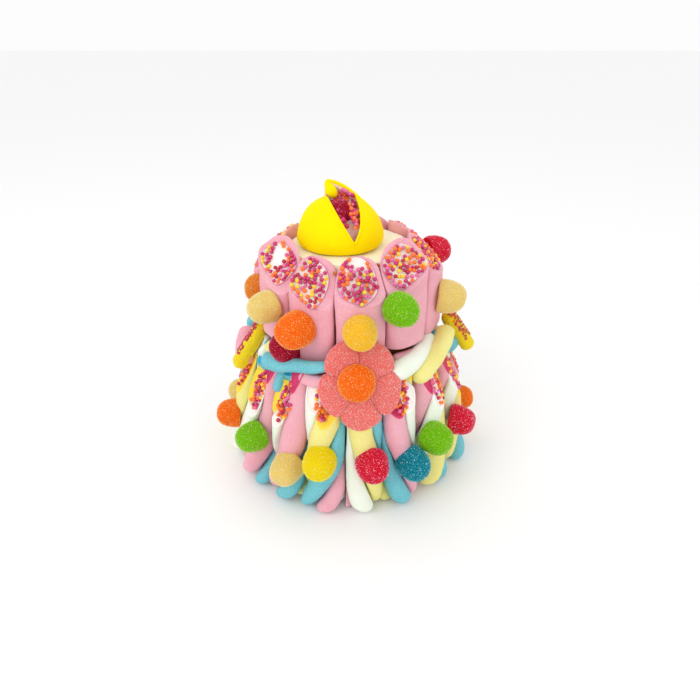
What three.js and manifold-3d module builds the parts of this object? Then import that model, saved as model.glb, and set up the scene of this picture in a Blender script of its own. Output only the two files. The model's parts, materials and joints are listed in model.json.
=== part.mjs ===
// Two-tier sweet cake: twisted marshmallow ropes stand round the lower tier and plain
// marshmallow sticks round the upper one. All are cut aslant, and the cut faces carry sugar
// beads. Sugared gum drops and a jelly flower are stuck on, and a split ball sits on top.
// Millimetres, +Z up. The origin is the middle of the base, on the table. The flower faces -Y.
// Angles are in degrees round the cake, from the front (-Y) towards +X.
import * as THREE from 'three';
import { mergeVertices } from 'three/addons/utils/BufferGeometryUtils.js';
import Module from 'manifold-3d';

const wasm = await Module();
wasm.setup();

// ---- driving dimensions ---------------------------------------------------------------------
const GAP = 0.3;                  // clearance kept between pieces that touch

const CORE = { radius: 57, shoulder: 94, neckRadius: 40.6, top: 157, sides: 24 };
const DISC = { radius: 50, bottom: 157.3, top: 165, sides: 24 };

const STICK = {                   // upper tier
  ring: 53.5, halfWidth: 14.6, halfDepth: 11.7, foot: 107, top: 190, sides: 12,
  tipRadius: 43, tip: 173, faceRadius: 65, faceBottom: 149, inside: 41, beads: 7, rings: 1,
};
const ROPE = {                    // lower tier
  ring: 72.5, halfWidth: 14.2, halfDepth: 13.5, foot: 0, top: 99, sides: 12,
  tipRadius: 67, tip: 98, faceRadius: 86, faceBottom: 60, inside: 57.4, beads: 4, rings: 4,
  splay: 5.5, lean: 2.5, groove: 0.83, turn: 70,
};
const BEAD = { radius: 1.35, sides: 5, sink: 0.1 };
const GOLDEN_TURN = Math.PI * (3 - Math.sqrt(5));

const DROP = { radius: 10.8, height: 18.5, sides: 10 };
const FLOWER = {
  radius: 28.8, wide: 0.93, tall: 1.04, waist: 0.79, thickness: 8, petals: 5,
  angle: 5.3, ring: 78.5, height: 99.5, tilt: 20, bevel: 2,
};
const FLOWER_DROP = { size: 1.04, flat: 0.6, aside: -2.5 };

const BALL = { radius: 29.3, height: 35, waist: 7, foot: 24.5, x: -6, y: 0, sides: 24 };
const SLIT = {                    // seen square-on from the front and above: x and height up that view
  lookDown: 25, top: [-15.5, 182], bottom: [3.5, 145.5], bulge: [13, 160], lip: [2.7, 182], floor: 2,
  reach: 80,
};
const FLAP = { tip: [-15.6, 206.8], left: [-17, 190], right: [7, 194], crest: [-4, 205], y: 3, thickness: 5.5 };
const HEART = { x: -7, y: -1, z: 184, size: 0.9, lookUp: 36 };

// The front sticks and ropes as [angle where it starts, lift of its top, turn of its cut face].
// The others share the rest of the circle evenly.
const FRONT_STICKS = { list: [[-72, 2, 36], [-38, -4, 16], [-8.5, -2, 0], [22.5, 4, -22], [55, 3, 10]], end: 86 };
const STICK_COUNT = 12;
const FRONT_ROPES = {
  list: [[-64, -4, 0], [-43, 0, -20], [-22, 8, -5], [-1.5, 7, 0], [16, 10, 0], [34, 0, 16], [61, -5, 8]],
  end: 83,
};
const ROPE_COUNT = 17;
const STICK_PAIRS = [7, 9];       // at the back, the stick of this number is one piece with the next
const ROPE_PAIRS = [8, 10, 12, 14];
const PAIR_MEET = 1;              // degrees that the two of a pair reach into each other

// Gum drops as name: [angle, height, colour, size, turn sideways, turn upwards, how far it is sunk in].
const UPPER_DROPS = {
  gold: [5.6, 132, 'gold', 1, 0, 0, 0],
  orange: [-28, 129.5, 'orange', 1.1, 0, 5, 0],
  cream_left: [-49, 138.5, 'cream', 1, -6, -4, 0],
  amber_left: [-73, 140, 'amber', 1, 0, 0, 9],
  green: [27, 144.5, 'green', 1, 0, 0, 0],
  cream_right: [68, 137, 'cream', 1.06, 18, -6, 0],
  red_back: [112, 151, 'red', 1, 0, 0, 3],
  gold_back: [150, 138, 'gold', 1, 0, 0, 0],
  green_back: [188, 140, 'green', 1, 0, 0, 0],
  orange_back: [226, 136, 'orange', 1, 0, 0, 0],
};
const LOWER_DROPS = {
  red: [10, 44, 'red', 1.02, 0, -4, 0],
  yellow: [-12.5, 45, 'yellow', 1.02, 0, 0, 0],
  cream: [-28, 34, 'cream', 1.04, 0, -6, 0],
  blue: [28.5, 38, 'teal', 1.04, 4, -4, 0],
  green_left: [-48, 45.5, 'green', 1, -4, 0, 0],
  green_right: [41, 50.5, 'green', 1.04, 0, 0, 0],
  orange_left: [-76, 38, 'orange', 1, -12, 0, -1],
  red_right: [62, 46.5, 'red', 0.98, 6, 0, 0],
  cream_far_left: [-102, 33, 'cream', 0.95, 0, 0, 0],
  orange_far_right: [97, 31, 'orange', 0.95, 0, 0, 0],
  yellow_back: [138, 46, 'yellow', 1, 0, 0, 0],
  teal_back: [180, 42, 'teal', 1, 0, 0, 0],
  red_far_back: [222, 46, 'red', 1, 0, 0, 0],
};

const SHOULDER_DROPS = { red: [-38, 109, 'darkRed', 1.02, 0, 30, 0] };
const WALLS = { upper: STICK.faceRadius - 1, lower: ROPE.faceRadius - 3, shoulder: 60 };

// Sweets that lie on the shoulder between the tiers: [start angle, end angle, radii, heights].
const SHOULDER_ROPES = {
  shoulder_rope_blue: { from: -52, to: -11, ring: [70, 71], z: [98, 108], radius: 6.2, colour: 'blue' },
  shoulder_rope_white: { from: 24, to: 72, ring: [73, 69], z: [99, 109], radius: 7.2, colour: 'white' },
  shoulder_rope_yellow: { from: 112, to: 170, ring: [70, 70], z: [104, 105], radius: 7.4, colour: 'paleYellow' },
  shoulder_rope_pink: { from: 188, to: 250, ring: [70, 70], z: [105, 104], radius: 7.4, colour: 'pink' },
};
// Sugared yellow sticks that lean outwards: [angle, inner radius, inner height, outer radius, outer height].
const SOUR_STICKS = {
  sour_stick_right: [84, 69, 117, 89.5, 88],
  sour_stick_left: [-72, 63, 113, 84.5, 82],
};
const SOUR = { radius: 5.8, sides: 10, beads: 6 };

const COLOURS = {
  core: 0xb5763a, disc: 0xfaf3d2, stick: 0xe9aebd, pink: 0xe9aebd, blue: 0x74c8d6, white: 0xf5f6ec,
  paleYellow: 0xf0e687, ball: 0xffee00, flower: 0xeb7d82, sour: 0xe3cc2e, gold: 0xebb928,
  orange: 0xf56419, cream: 0xe4c36e, amber: 0xd8741c, green: 0x7db41e, red: 0xc81932,
  darkRed: 0x960a23, teal: 0x147d8c, yellow: 0xe6cd14,
};
const ROPE_COLOURS = ['pink', 'white', 'paleYellow', 'blue'];
const GLOSS = { core: 0.9, ball: 0.7, sour: 0.6 };

// ---- solids ---------------------------------------------------------------------------------
const radians = THREE.MathUtils.degToRad;
const mix = THREE.MathUtils.lerp;

/** The direction that points straight out from the cake at an angle. */
function outward(angle) {
  return new THREE.Vector3(Math.sin(radians(angle)), -Math.cos(radians(angle)), 0);
}

/** A place by its angle, radius and height. */
function at(angle, radius, z) {
  return outward(angle).multiplyScalar(radius).setZ(z);
}

/** A closed three.js geometry as a solid that can be cut and joined. */
function solid(geometry) {
  const bare = geometry.clone();
  bare.deleteAttribute('normal');
  bare.deleteAttribute('uv');
  const merged = mergeVertices(bare, 1e-4);
  return new wasm.Manifold(new wasm.Mesh({
    numProp: 3,
    vertProperties: new Float32Array(merged.attributes.position.array),
    triVerts: new Uint32Array(merged.index.array),
  }));
}

/** The largest single body of a solid, as a three.js geometry. */
function geometryOf(body) {
  const parts = body.decompose();
  parts.sort((a, b) => b.volume() - a.volume());
  const mesh = parts[0].getMesh();
  const geometry = new THREE.BufferGeometry();
  geometry.setAttribute('position', new THREE.BufferAttribute(new Float32Array(mesh.vertProperties), 3));
  geometry.setIndex(Array.from(mesh.triVerts));
  geometry.computeVertexNormals();
  return geometry;
}

/** Moves each point of a geometry to where a function of the point says. */
function reshape(geometry, place) {
  const points = geometry.attributes.position;
  const point = new THREE.Vector3();
  for (let i = 0; i < points.count; i += 1) {
    const moved = place(point.fromBufferAttribute(points, i).clone());
    points.setXYZ(i, moved.x, moved.y, moved.z);
  }
  return geometry;
}

/** A rod of unit radius and length along +Z with rounded ends, in rings. */
function unitRod(sides, rings, round) {
  const profile = [new THREE.Vector2(0, 0), new THREE.Vector2(0.72, 0)];
  for (let i = 0; i <= rings; i += 1) {
    profile.push(new THREE.Vector2(1, mix(round, 1 - round, i / rings)));
  }
  profile.push(new THREE.Vector2(0.72, 1), new THREE.Vector2(0, 1));
  return new THREE.LatheGeometry(profile, sides).rotateX(Math.PI / 2);
}

/** Holds a point inside the slice of cake between two angles, and outside the core. */
function keepInSlice(point, slice, inside, clearance) {
  const sides = [
    new THREE.Vector3(Math.cos(radians(slice.start)), Math.sin(radians(slice.start)), 0),
    new THREE.Vector3(-Math.cos(radians(slice.end)), -Math.sin(radians(slice.end)), 0),
  ];
  for (const normal of sides) {
    const short = clearance - point.dot(normal);
    if (short > 0) {
      point.addScaledVector(normal, short);
    }
  }
  const out = outward(slice.angle);
  const short = inside - point.dot(out);
  return short > 0 ? point.addScaledVector(out, short) : point;
}

/** The slices of a tier: given ones at the front, and the rest evenly round the back. */
function slices(front, count, pairs) {
  const starts = [...front.list];
  const step = (360 + front.list[0][0] - front.end) / (count - front.list.length);
  while (starts.length < count) {
    const number = starts.length - front.list.length;
    starts.push([front.end + step * number, ((number * 5) % 4) - 2, 0]);
  }
  return starts.map(([start, lift, yaw], number) => {
    const end = number === count - 1 ? starts[0][0] + 360 : starts[number + 1][0];
    return {
      start: start - (pairs.includes(number - 1) ? PAIR_MEET : 0),
      end: end + (pairs.includes(number) ? PAIR_MEET : 0),
      angle: (start + end) / 2,
      lift,
      yaw,
      number,
    };
  });
}

/** The frame of a slanting cut face: its middle, its long way up, its width and its normal. */
function faceFrame(slice, kind) {
  const run = kind.faceRadius - kind.tipRadius;
  const rise = kind.tip - kind.faceBottom;
  const ring = (kind.faceRadius + kind.tipRadius) / 2;
  const middle = at(slice.angle, ring, kind.faceBottom + rise / 2 + slice.lift);
  const facing = outward(slice.angle + slice.yaw);
  const up = facing.clone().multiplyScalar(-run).setZ(rise).normalize();
  const across = new THREE.Vector3(-facing.y, facing.x, 0);
  const normal = across.clone().cross(up).normalize();
  return { middle, up, across, normal, length: Math.hypot(run, rise) };
}

/** A large block that lies on a cut face and takes away everything above it. */
function cutter(frame, size = 120) {
  const block = new THREE.BoxGeometry(size, size, size).translate(0, 0, size / 2);
  const turn = new THREE.Matrix4().makeBasis(frame.across, frame.up, frame.normal);
  return solid(block.applyMatrix4(turn.setPosition(frame.middle)));
}

/** Sugar beads spread over a face like sunflower seeds, joined to the body below. */
function addBeads(body, frame, count, width, length) {
  let beaded = body;
  for (let i = 0; i < count; i += 1) {
    const spread = Math.sqrt((i + 0.5) / count);
    const turn = i * GOLDEN_TURN;
    const place = frame.middle.clone()
      .addScaledVector(frame.across, spread * Math.cos(turn) * width / 2)
      .addScaledVector(frame.up, spread * Math.sin(turn) * length / 2)
      .addScaledVector(frame.normal, -BEAD.sink);
    const bead = new THREE.SphereGeometry(BEAD.radius, BEAD.sides, 2).rotateX(Math.PI / 2);
    const stand = new THREE.Matrix4().makeBasis(frame.across, frame.up, frame.normal);
    beaded = beaded.add(solid(bead.applyMatrix4(stand.setPosition(place))));
  }
  return beaded;
}

/** The full form of an upright stick, before its slanting cut. */
function stickBody(slice, grow) {
  const foot = STICK.foot + Math.min(slice.lift, 3);
  const across = new THREE.Vector3(Math.cos(radians(slice.angle)), Math.sin(radians(slice.angle)), 0);
  const rod = reshape(unitRod(STICK.sides, STICK.rings, 0.08), (point) => {
    const placed = at(slice.angle, STICK.ring, mix(foot - grow, STICK.top, point.z));
    placed.addScaledVector(across, -point.x * (STICK.halfWidth + grow));
    placed.addScaledVector(outward(slice.angle), point.y * (STICK.halfDepth + grow));
    return keepInSlice(placed, slice, STICK.inside - grow, GAP / 2 - grow);
  });
  return solid(rod);
}

/** The full form of a twisted rope: four strands show as four lobes that wind round it. */
function ropeBody(slice, grow) {
  const turn = (slice.angle < 0 || slice.angle > 180 ? -1 : 1) * ROPE.turn;
  const top = ROPE.top + Math.max(slice.lift, 0);
  const across = new THREE.Vector3(Math.cos(radians(slice.angle)), Math.sin(radians(slice.angle)), 0);
  const rod = reshape(unitRod(ROPE.sides, ROPE.rings, 0.05), (point) => {
    const spoke = Math.atan2(point.y, point.x);
    const step = Math.round(spoke / (2 * Math.PI / ROPE.sides));
    const lobe = ((step % 3) + 3) % 3 === 0 ? ROPE.groove : 1;
    const away = Math.hypot(point.x, point.y) * lobe;
    const wound = spoke + radians(turn * point.z + 45);
    const splay = ROPE.splay * (1 - point.z) ** 3 - ROPE.lean * point.z;
    const placed = at(slice.angle, ROPE.ring + splay, mix(ROPE.foot, top, point.z));
    placed.addScaledVector(across, -away * Math.cos(wound) * (ROPE.halfWidth + grow));
    placed.addScaledVector(outward(slice.angle), away * Math.sin(wound) * (ROPE.halfDepth + grow));
    return keepInSlice(placed, slice, ROPE.inside - grow, GAP / 2 - grow);
  });
  return solid(rod);
}

/** A gum drop standing on +Z: a flat foot, round sides and a blunt crown. */
function dropForm(size, grow) {
  const outline = [[0, 0], [0.88, 0], [1, 0.25], [0.9, 0.62], [0.52, 0.93], [0, 1]];
  const profile = outline.map(([across, up]) => {
    const radius = across === 0 ? 0 : across * DROP.radius * size + grow;
    return new THREE.Vector2(radius, up * (DROP.height * size + 2 * grow) - grow);
  });
  return new THREE.LatheGeometry(profile, DROP.sides).rotateX(Math.PI / 2);
}

/** Puts a form that stands on +Z at a place, pointing a given way. */
function aim(geometry, place, direction) {
  const turn = new THREE.Quaternion().setFromUnitVectors(new THREE.Vector3(0, 0, 1), direction);
  return geometry.applyQuaternion(turn).translate(place.x, place.y, place.z);
}

/** A gum drop stuck to the outside of a tier. */
function stuckDrop([angle, height, , size, sideways, upwards, sunk], wall, grow) {
  const direction = outward(angle + sideways).multiplyScalar(Math.cos(radians(upwards)));
  direction.z = Math.sin(radians(upwards));
  return solid(aim(dropForm(size, grow), at(angle, wall - sunk, height), direction));
}

/** The outline of the flower: round petals that meet in creases. */
function petalOutline(grow) {
  const steps = FLOWER.petals * 7;
  const points = [];
  for (let i = 0; i < steps; i += 1) {
    const turn = (i / steps) * 2 * Math.PI;
    const wave = Math.sqrt(Math.abs(Math.cos(turn * FLOWER.petals / 2)));
    const radius = FLOWER.radius * mix(FLOWER.waist, 1, wave) + grow;
    points.push(new THREE.Vector2(radius * FLOWER.wide * Math.sin(turn), -radius * FLOWER.tall * Math.cos(turn)));
  }
  return new THREE.Shape(points);
}

const flowerLean = outward(FLOWER.angle).multiplyScalar(Math.cos(radians(FLOWER.tilt)))
  .setZ(Math.sin(radians(FLOWER.tilt)));
const flowerPlace = at(FLOWER.angle, FLOWER.ring, FLOWER.height);

/** The jelly flower, leaning on the front, one petal down. */
function flowerBody(grow) {
  const { bevel, thickness } = FLOWER;
  const slab = new THREE.ExtrudeGeometry(petalOutline(grow - bevel), {
    depth: thickness - 2 * bevel + 2 * grow,
    bevelThickness: bevel, bevelSize: bevel, bevelSegments: 1, steps: 1,
  });
  slab.translate(0, 0, bevel - thickness - grow);
  const across = new THREE.Vector3(0, 0, 1).cross(flowerLean).normalize();
  const up = flowerLean.clone().cross(across);
  const stand = new THREE.Matrix4().makeBasis(across, up, flowerLean);
  return solid(slab.applyMatrix4(stand.setPosition(flowerPlace)));
}

/** The gum drop in the middle of the flower. */
function flowerDropBody(grow) {
  const across = new THREE.Vector3(0, 0, 1).cross(flowerLean).normalize();
  const place = flowerPlace.clone()
    .addScaledVector(flowerLean, GAP)
    .addScaledVector(across, FLOWER_DROP.aside);
  const form = dropForm(FLOWER_DROP.size, grow).scale(1, 1, FLOWER_DROP.flat);
  return solid(aim(form, place, flowerLean));
}

/** A rope of marshmallow that lies along the shoulder. */
function shoulderRopeBody(rope, grow) {
  const rod = reshape(unitRod(9, 6, 0.06), (point) => {
    const angle = mix(rope.from, rope.to, point.z);
    const ring = mix(rope.ring[0], rope.ring[1], point.z);
    const z = mix(rope.z[0], rope.z[1], point.z);
    const radius = rope.radius + grow;
    return at(angle, ring - point.x * radius, z + point.y * radius);
  });
  return solid(rod);
}

/** A sugared stick that leans outwards over the edge of the shoulder, cut along its top. */
function sourStickBody([angle, innerRadius, innerHeight, outerRadius, outerHeight], grow) {
  const foot = at(angle, outerRadius, outerHeight);
  const way = at(angle, innerRadius, innerHeight).sub(foot);
  const length = way.length();
  const rod = unitRod(SOUR.sides, 3, 0.14).scale(SOUR.radius + grow, SOUR.radius + grow, length);
  return solid(aim(rod, foot, way.normalize()));
}

/** The cut face along the top of a sugared stick. */
function sourFace([angle, innerRadius, innerHeight, outerRadius, outerHeight]) {
  const low = at(angle, outerRadius, outerHeight);
  const high = at(angle, innerRadius, innerHeight);
  const up = high.clone().sub(low);
  const length = up.length();
  up.normalize();
  const across = new THREE.Vector3(Math.cos(radians(angle)), Math.sin(radians(angle)), 0);
  const normal = across.clone().cross(up).normalize();
  const middle = low.add(high).multiplyScalar(0.5).addScaledVector(normal, SOUR.radius * 0.5);
  return { middle, up, across, normal, length };
}

/** The marshmallow ball: a flared foot, a round crown. */
function ballBody() {
  const profile = [new THREE.Vector2(0, 0), new THREE.Vector2(BALL.foot, 0)];
  const rings = 7;
  for (let i = 0; i < rings; i += 1) {
    const rise = (i / rings) * Math.PI / 2;
    const z = BALL.waist + Math.sin(rise) * (BALL.height - BALL.waist);
    profile.push(new THREE.Vector2(BALL.radius * Math.cos(rise), z));
  }
  profile.push(new THREE.Vector2(0, BALL.height));
  const form = new THREE.LatheGeometry(profile, BALL.sides).rotateX(Math.PI / 2);
  return solid(form.translate(BALL.x, BALL.y, DISC.top + GAP));
}

/** The wedge that is open in the front of the ball: one straight lip, one curved lip. */
function slitBody() {
  const outline = new THREE.Shape();
  outline.moveTo(...SLIT.top);
  outline.lineTo(...SLIT.bottom);
  outline.quadraticCurveTo(...SLIT.bulge, ...SLIT.lip);
  const prism = new THREE.ExtrudeGeometry(outline, { depth: SLIT.reach, bevelEnabled: false, curveSegments: 6 });
  const look = radians(SLIT.lookDown);
  const towards = new THREE.Vector3(0, -Math.cos(look), Math.sin(look));
  const up = new THREE.Vector3(0, Math.sin(look), Math.cos(look));
  const middle = new THREE.Vector3(0, BALL.y, DISC.top + BALL.waist).dot(towards);
  const stand = new THREE.Matrix4().makeBasis(new THREE.Vector3(1, 0, 0), up, towards);
  return solid(prism.translate(0, 0, middle + SLIT.floor).applyMatrix4(stand));
}

/** The pointed flap that is peeled up behind the slit. */
function flapBody() {
  const outline = new THREE.Shape();
  outline.moveTo(...FLAP.left);
  outline.lineTo(...FLAP.tip);
  outline.quadraticCurveTo(...FLAP.crest, ...FLAP.right);
  outline.lineTo(FLAP.right[0], FLAP.left[1] - 2);
  const slab = new THREE.ExtrudeGeometry(outline, {
    depth: FLAP.thickness - 2, steps: 1, curveSegments: 5,
    bevelThickness: 1, bevelSize: 1, bevelOffset: -1, bevelSegments: 1,
  });
  slab.rotateX(Math.PI / 2);
  return solid(slab.translate(0, FLAP.y + FLAP.thickness - 1, 0));
}

/** The dark red gum drop that shows in the slit. */
function heartBody(grow) {
  const direction = new THREE.Vector3(0, -Math.cos(radians(HEART.lookUp)), Math.sin(radians(HEART.lookUp)));
  return solid(aim(dropForm(HEART.size, grow), new THREE.Vector3(HEART.x, HEART.y, HEART.z), direction));
}

/** The core: a broad drum for the lower tier and a narrow one for the upper. */
function coreBody() {
  const profile = [
    [0, 0], [CORE.radius, 0], [CORE.radius, CORE.shoulder], [CORE.neckRadius, CORE.shoulder],
    [CORE.neckRadius, CORE.top], [0, CORE.top],
  ].map(([x, y]) => new THREE.Vector2(x, y));
  return solid(new THREE.LatheGeometry(profile, CORE.sides).rotateX(Math.PI / 2));
}

/** The pale foam disc on top of the core, which fills the creases between the sticks. */
function discBody() {
  const height = DISC.top - DISC.bottom;
  const drum = new THREE.CylinderGeometry(DISC.radius, DISC.radius, height, DISC.sides).rotateX(Math.PI / 2);
  return solid(drum.translate(0, 0, DISC.bottom + height / 2));
}

// ---- the cake ---------------------------------------------------------------------------------
const cake = new THREE.Group();

/** Adds a solid to the cake as a named piece of one colour. */
function addPiece(name, body, colour) {
  const material = new THREE.MeshStandardMaterial({
    color: COLOURS[colour],
    roughness: GLOSS[colour] ?? 0.75,
    metalness: 0,
  });
  const piece = new THREE.Mesh(geometryOf(body), material);
  piece.name = name;
  cake.add(piece);
}

/** Takes the grown forms of the pieces that a body touches out of it. */
function giveWay(body, others) {
  let left = body;
  for (const other of others) {
    const a = left.boundingBox();
    const b = other.boundingBox();
    const apart = [0, 1, 2].some((axis) => a.min[axis] > b.max[axis] || b.min[axis] > a.max[axis]);
    if (!apart) {
      left = left.subtract(other);
    }
  }
  return left;
}

// The firm sweets keep their own form. Each is held with the room that its neighbours leave it.
const room = [];

function addFirm(name, build, colour) {
  addPiece(name, giveWay(build(0), room), colour);
  room.push(build(GAP));
}

for (const [tier, drops] of Object.entries({ upper: UPPER_DROPS, lower: LOWER_DROPS, shoulder: SHOULDER_DROPS })) {
  for (const [name, drop] of Object.entries(drops)) {
    addFirm(`drop_${tier}_${name}`, (grow) => stuckDrop(drop, WALLS[tier], grow), drop[2]);
  }
}
addFirm('flower_drop', flowerDropBody, 'orange');
addFirm('flower', flowerBody, 'flower');

/** A stick or rope with its slanting cut and the beads on it. */
function cutBody(slice, kind, bodyOf) {
  const frame = faceFrame(slice, kind);
  const body = bodyOf(slice, 0).subtract(cutter(frame));
  return addBeads(body, frame, kind.beads, kind.halfWidth * 1.15, frame.length * 0.7);
}

/** The room that a cut stick or rope needs. */
function cutRoom(slice, kind, bodyOf) {
  const frame = faceFrame(slice, kind);
  frame.middle.addScaledVector(frame.normal, BEAD.radius + GAP);
  return bodyOf(slice, GAP).subtract(cutter(frame));
}

/** Adds the sticks or ropes of a tier, the two of a pair joined. They give way to what is taken. */
function addTier(name, kind, bodyOf, list, pairs, colourOf, taken) {
  let joined = null;
  for (const slice of list) {
    const body = giveWay(cutBody(slice, kind, bodyOf), taken);
    if (pairs.includes(slice.number)) {
      joined = body;
    } else {
      const number = String(slice.number + 1).padStart(2, '0');
      addPiece(`${name}_${number}`, joined === null ? body : joined.add(body), colourOf(slice));
      joined = null;
    }
  }
}

const stickSlices = slices(FRONT_STICKS, STICK_COUNT, STICK_PAIRS);
const ropeSlices = slices(FRONT_ROPES, ROPE_COUNT, ROPE_PAIRS);
const stickRoom = stickSlices.map((slice) => cutRoom(slice, STICK, stickBody));
const ropeColour = (slice) => ROPE_COLOURS[slice.number % 4];
addTier('stick', STICK, stickBody, stickSlices, STICK_PAIRS, () => 'stick', room);
addTier('rope', ROPE, ropeBody, ropeSlices, ROPE_PAIRS, ropeColour, [...room, ...stickRoom]);
const ropeRoom = ropeSlices.map((slice) => cutRoom(slice, ROPE, ropeBody));

// What lies loosely on the shoulder gives way to both tiers and to what was laid before it.
const laid = [...room, ...stickRoom, ...ropeRoom];
for (const [name, sweet] of Object.entries(SOUR_STICKS)) {
  const frame = sourFace(sweet);
  let body = sourStickBody(sweet, 0).subtract(cutter(frame, 60));
  body = addBeads(body, frame, SOUR.beads, SOUR.radius, frame.length * 0.7);
  addPiece(name, giveWay(body, laid), 'sour');
  laid.push(sourStickBody(sweet, GAP));
}
for (const [name, rope] of Object.entries(SHOULDER_ROPES)) {
  addPiece(name, giveWay(shoulderRopeBody(rope, 0), laid), rope.colour);
}

const heart = heartBody(0);
addPiece('ball', ballBody().subtract(slitBody()).add(flapBody()).subtract(heartBody(GAP)), 'ball');
addPiece('ball_heart', heart, 'darkRed');
addPiece('disc', giveWay(discBody(), stickSlices.map((slice) => stickBody(slice, GAP))), 'disc');
addPiece('core', coreBody(), 'core');

export default cake;
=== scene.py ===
# %% [markdown]
# A two-tier cake built of sweets. Sticks and twisted ropes of marshmallow stand round a core like
# a fence, each cut aslant at the top, and sugared gum drops are stuck to them. The solid model is
# loaded first and never changed. Each sweet is then modelled anew in the same place, with the
# softness, sugar and sprinkles that the plain solids leave out.

# %% Load the frame
import json
import math
import random
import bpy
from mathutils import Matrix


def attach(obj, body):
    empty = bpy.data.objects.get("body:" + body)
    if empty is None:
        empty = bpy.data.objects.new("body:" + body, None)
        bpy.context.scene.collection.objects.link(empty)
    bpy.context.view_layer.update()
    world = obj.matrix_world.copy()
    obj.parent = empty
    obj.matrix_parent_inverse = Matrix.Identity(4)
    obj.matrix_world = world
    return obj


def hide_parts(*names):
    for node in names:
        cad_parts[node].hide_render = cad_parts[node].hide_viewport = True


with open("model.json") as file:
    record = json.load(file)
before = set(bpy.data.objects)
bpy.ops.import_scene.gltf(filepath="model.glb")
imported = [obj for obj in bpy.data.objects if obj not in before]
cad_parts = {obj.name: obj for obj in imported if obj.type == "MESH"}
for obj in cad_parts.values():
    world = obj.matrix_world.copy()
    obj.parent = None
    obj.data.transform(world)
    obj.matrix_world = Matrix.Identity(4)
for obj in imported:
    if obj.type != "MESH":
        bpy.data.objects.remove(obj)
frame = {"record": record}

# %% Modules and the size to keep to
from types import SimpleNamespace as Form

import bmesh
import bpy
import numpy as np
from mathutils import Matrix, Vector, noise
from mathutils.bvhtree import BVHTree

noise.seed_set(20)              # unseeded, the lumps would differ on every run
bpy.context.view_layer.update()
SLOTS = {entry["node"]: entry["material_slot"] for entry in frame["record"]["subparts"]}

# %% [markdown]
# The camera stands close in front and looks down on the cake at about 29 degrees. So near, it
# sees the top of the cake wider than the foot, which is why its place matters as much as its
# angle. Both were worked out from the widths and heights of the sweets.

# %% Camera
MM = 0.001
CAMERA_PLACE = Vector((0.7, -395, 302)) * MM
CAMERA_PITCH = 29.2
SENSOR = 36
FOCAL_SHARE = 600 / 700        # focal length over the width of the picture

camera_data = bpy.data.cameras.new("camera")
camera_data.sensor_width = SENSOR
camera_data.lens = SENSOR * FOCAL_SHARE
camera_data.clip_start = 0.01
camera = bpy.data.objects.new("camera", camera_data)
camera.location = CAMERA_PLACE
camera.rotation_euler = (math.radians(90 - CAMERA_PITCH), 0, 0)
bpy.context.scene.collection.objects.link(camera)
bpy.context.scene.camera = camera
bpy.context.scene.view_settings.view_transform = "Standard"
print("camera at", [round(c, 4) for c in camera.location], "lens", round(camera_data.lens, 2))

# %% [markdown]
# The photo is a bright catalogue picture: soft light from all round, with a little more from the
# upper left. Three large area lights and a pale world give that. The floor is plain and pale.

# %% Light and floor
LIGHTS = {                      # name: (place in m, size in m, power in W)
    "key": ((-0.55, -0.65, 0.85), 0.6, 2.4),
    "fill": ((0.65, -0.6, 0.45), 0.7, 0.5),
    "top": ((0.0, 0.15, 1.0), 0.8, 0.5),
}
WORLD_LIGHT = 0.98
FLOOR_SIZE = 12
FLOOR_TONE = (0.95, 0.95, 0.95, 1)
LIT_PLACE = Vector((0, 0, 0.1))         # every light points at this place in the cake

for name, (place, size, power) in LIGHTS.items():
    light_data = bpy.data.lights.new(name, "AREA")
    light_data.size = size
    light_data.energy = power
    light = bpy.data.objects.new(name, light_data)
    light.location = place
    light.rotation_euler = (LIT_PLACE - Vector(place)).to_track_quat("-Z", "Y").to_euler()
    bpy.context.scene.collection.objects.link(light)

world = bpy.data.worlds.new("studio")
world.use_nodes = True
background = world.node_tree.nodes["Background"].inputs
background["Color"].default_value = (1, 1, 1, 1)
background["Strength"].default_value = WORLD_LIGHT
bpy.context.scene.world = world

floor_mesh = bmesh.new()
bmesh.ops.create_grid(floor_mesh, x_segments=1, y_segments=1, size=FLOOR_SIZE / 2)
floor_data = bpy.data.meshes.new("floor")
floor_mesh.to_mesh(floor_data)
floor_mesh.free()
floor_paint = bpy.data.materials.new("floor")
floor_paint.use_nodes = True
floor_look = floor_paint.node_tree.nodes["Principled BSDF"].inputs
floor_look["Base Color"].default_value = FLOOR_TONE
floor_look["Roughness"].default_value = 0.9
floor_data.materials.append(floor_paint)
floor = bpy.data.objects.new("floor", floor_data)
bpy.context.scene.collection.objects.link(floor)
print("lights:", ", ".join(LIGHTS))

# %% [markdown]
# Materials come next. Two effects return on nearly every sweet, so each is a node group. The
# first is powder: marshmallow is rolled in starch, so its colour is dusty and uneven and its skin
# is finely grained. The group reads the object's own coordinates, which are metres here, so a
# noise scale of 1400 gives specks of about 0.7 mm.

# %% Helpers for materials
def srgb(red, green, blue):
    """A colour as screens count it (0 to 255), in the linear numbers that Blender works in."""
    parts = [c / 255 for c in (red, green, blue)]
    return tuple(((c + 0.055) / 1.055) ** 2.4 if c > 0.04 else c / 12.92 for c in parts) + (1,)


def new_node(tree, kind, sockets=None, **settings):
    """Adds a node. Settings belong to the node, and sockets are values or links by socket name."""
    node = tree.nodes.new(kind)
    for key, value in settings.items():
        setattr(node, key, value)
    for key, value in (sockets or {}).items():
        if isinstance(value, bpy.types.NodeSocket):
            tree.links.new(value, node.inputs[key])
        else:
            node.inputs[key].default_value = value
    return node


def mix_colours(tree, factor, first, second, blend="MIX"):
    """Mixes two colours, each a socket or a value, and gives the socket of the result."""
    mixer = new_node(tree, "ShaderNodeMix", {0: factor, 6: first, 7: second},
                     data_type="RGBA", blend_type=blend)
    return mixer.outputs[2]


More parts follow.
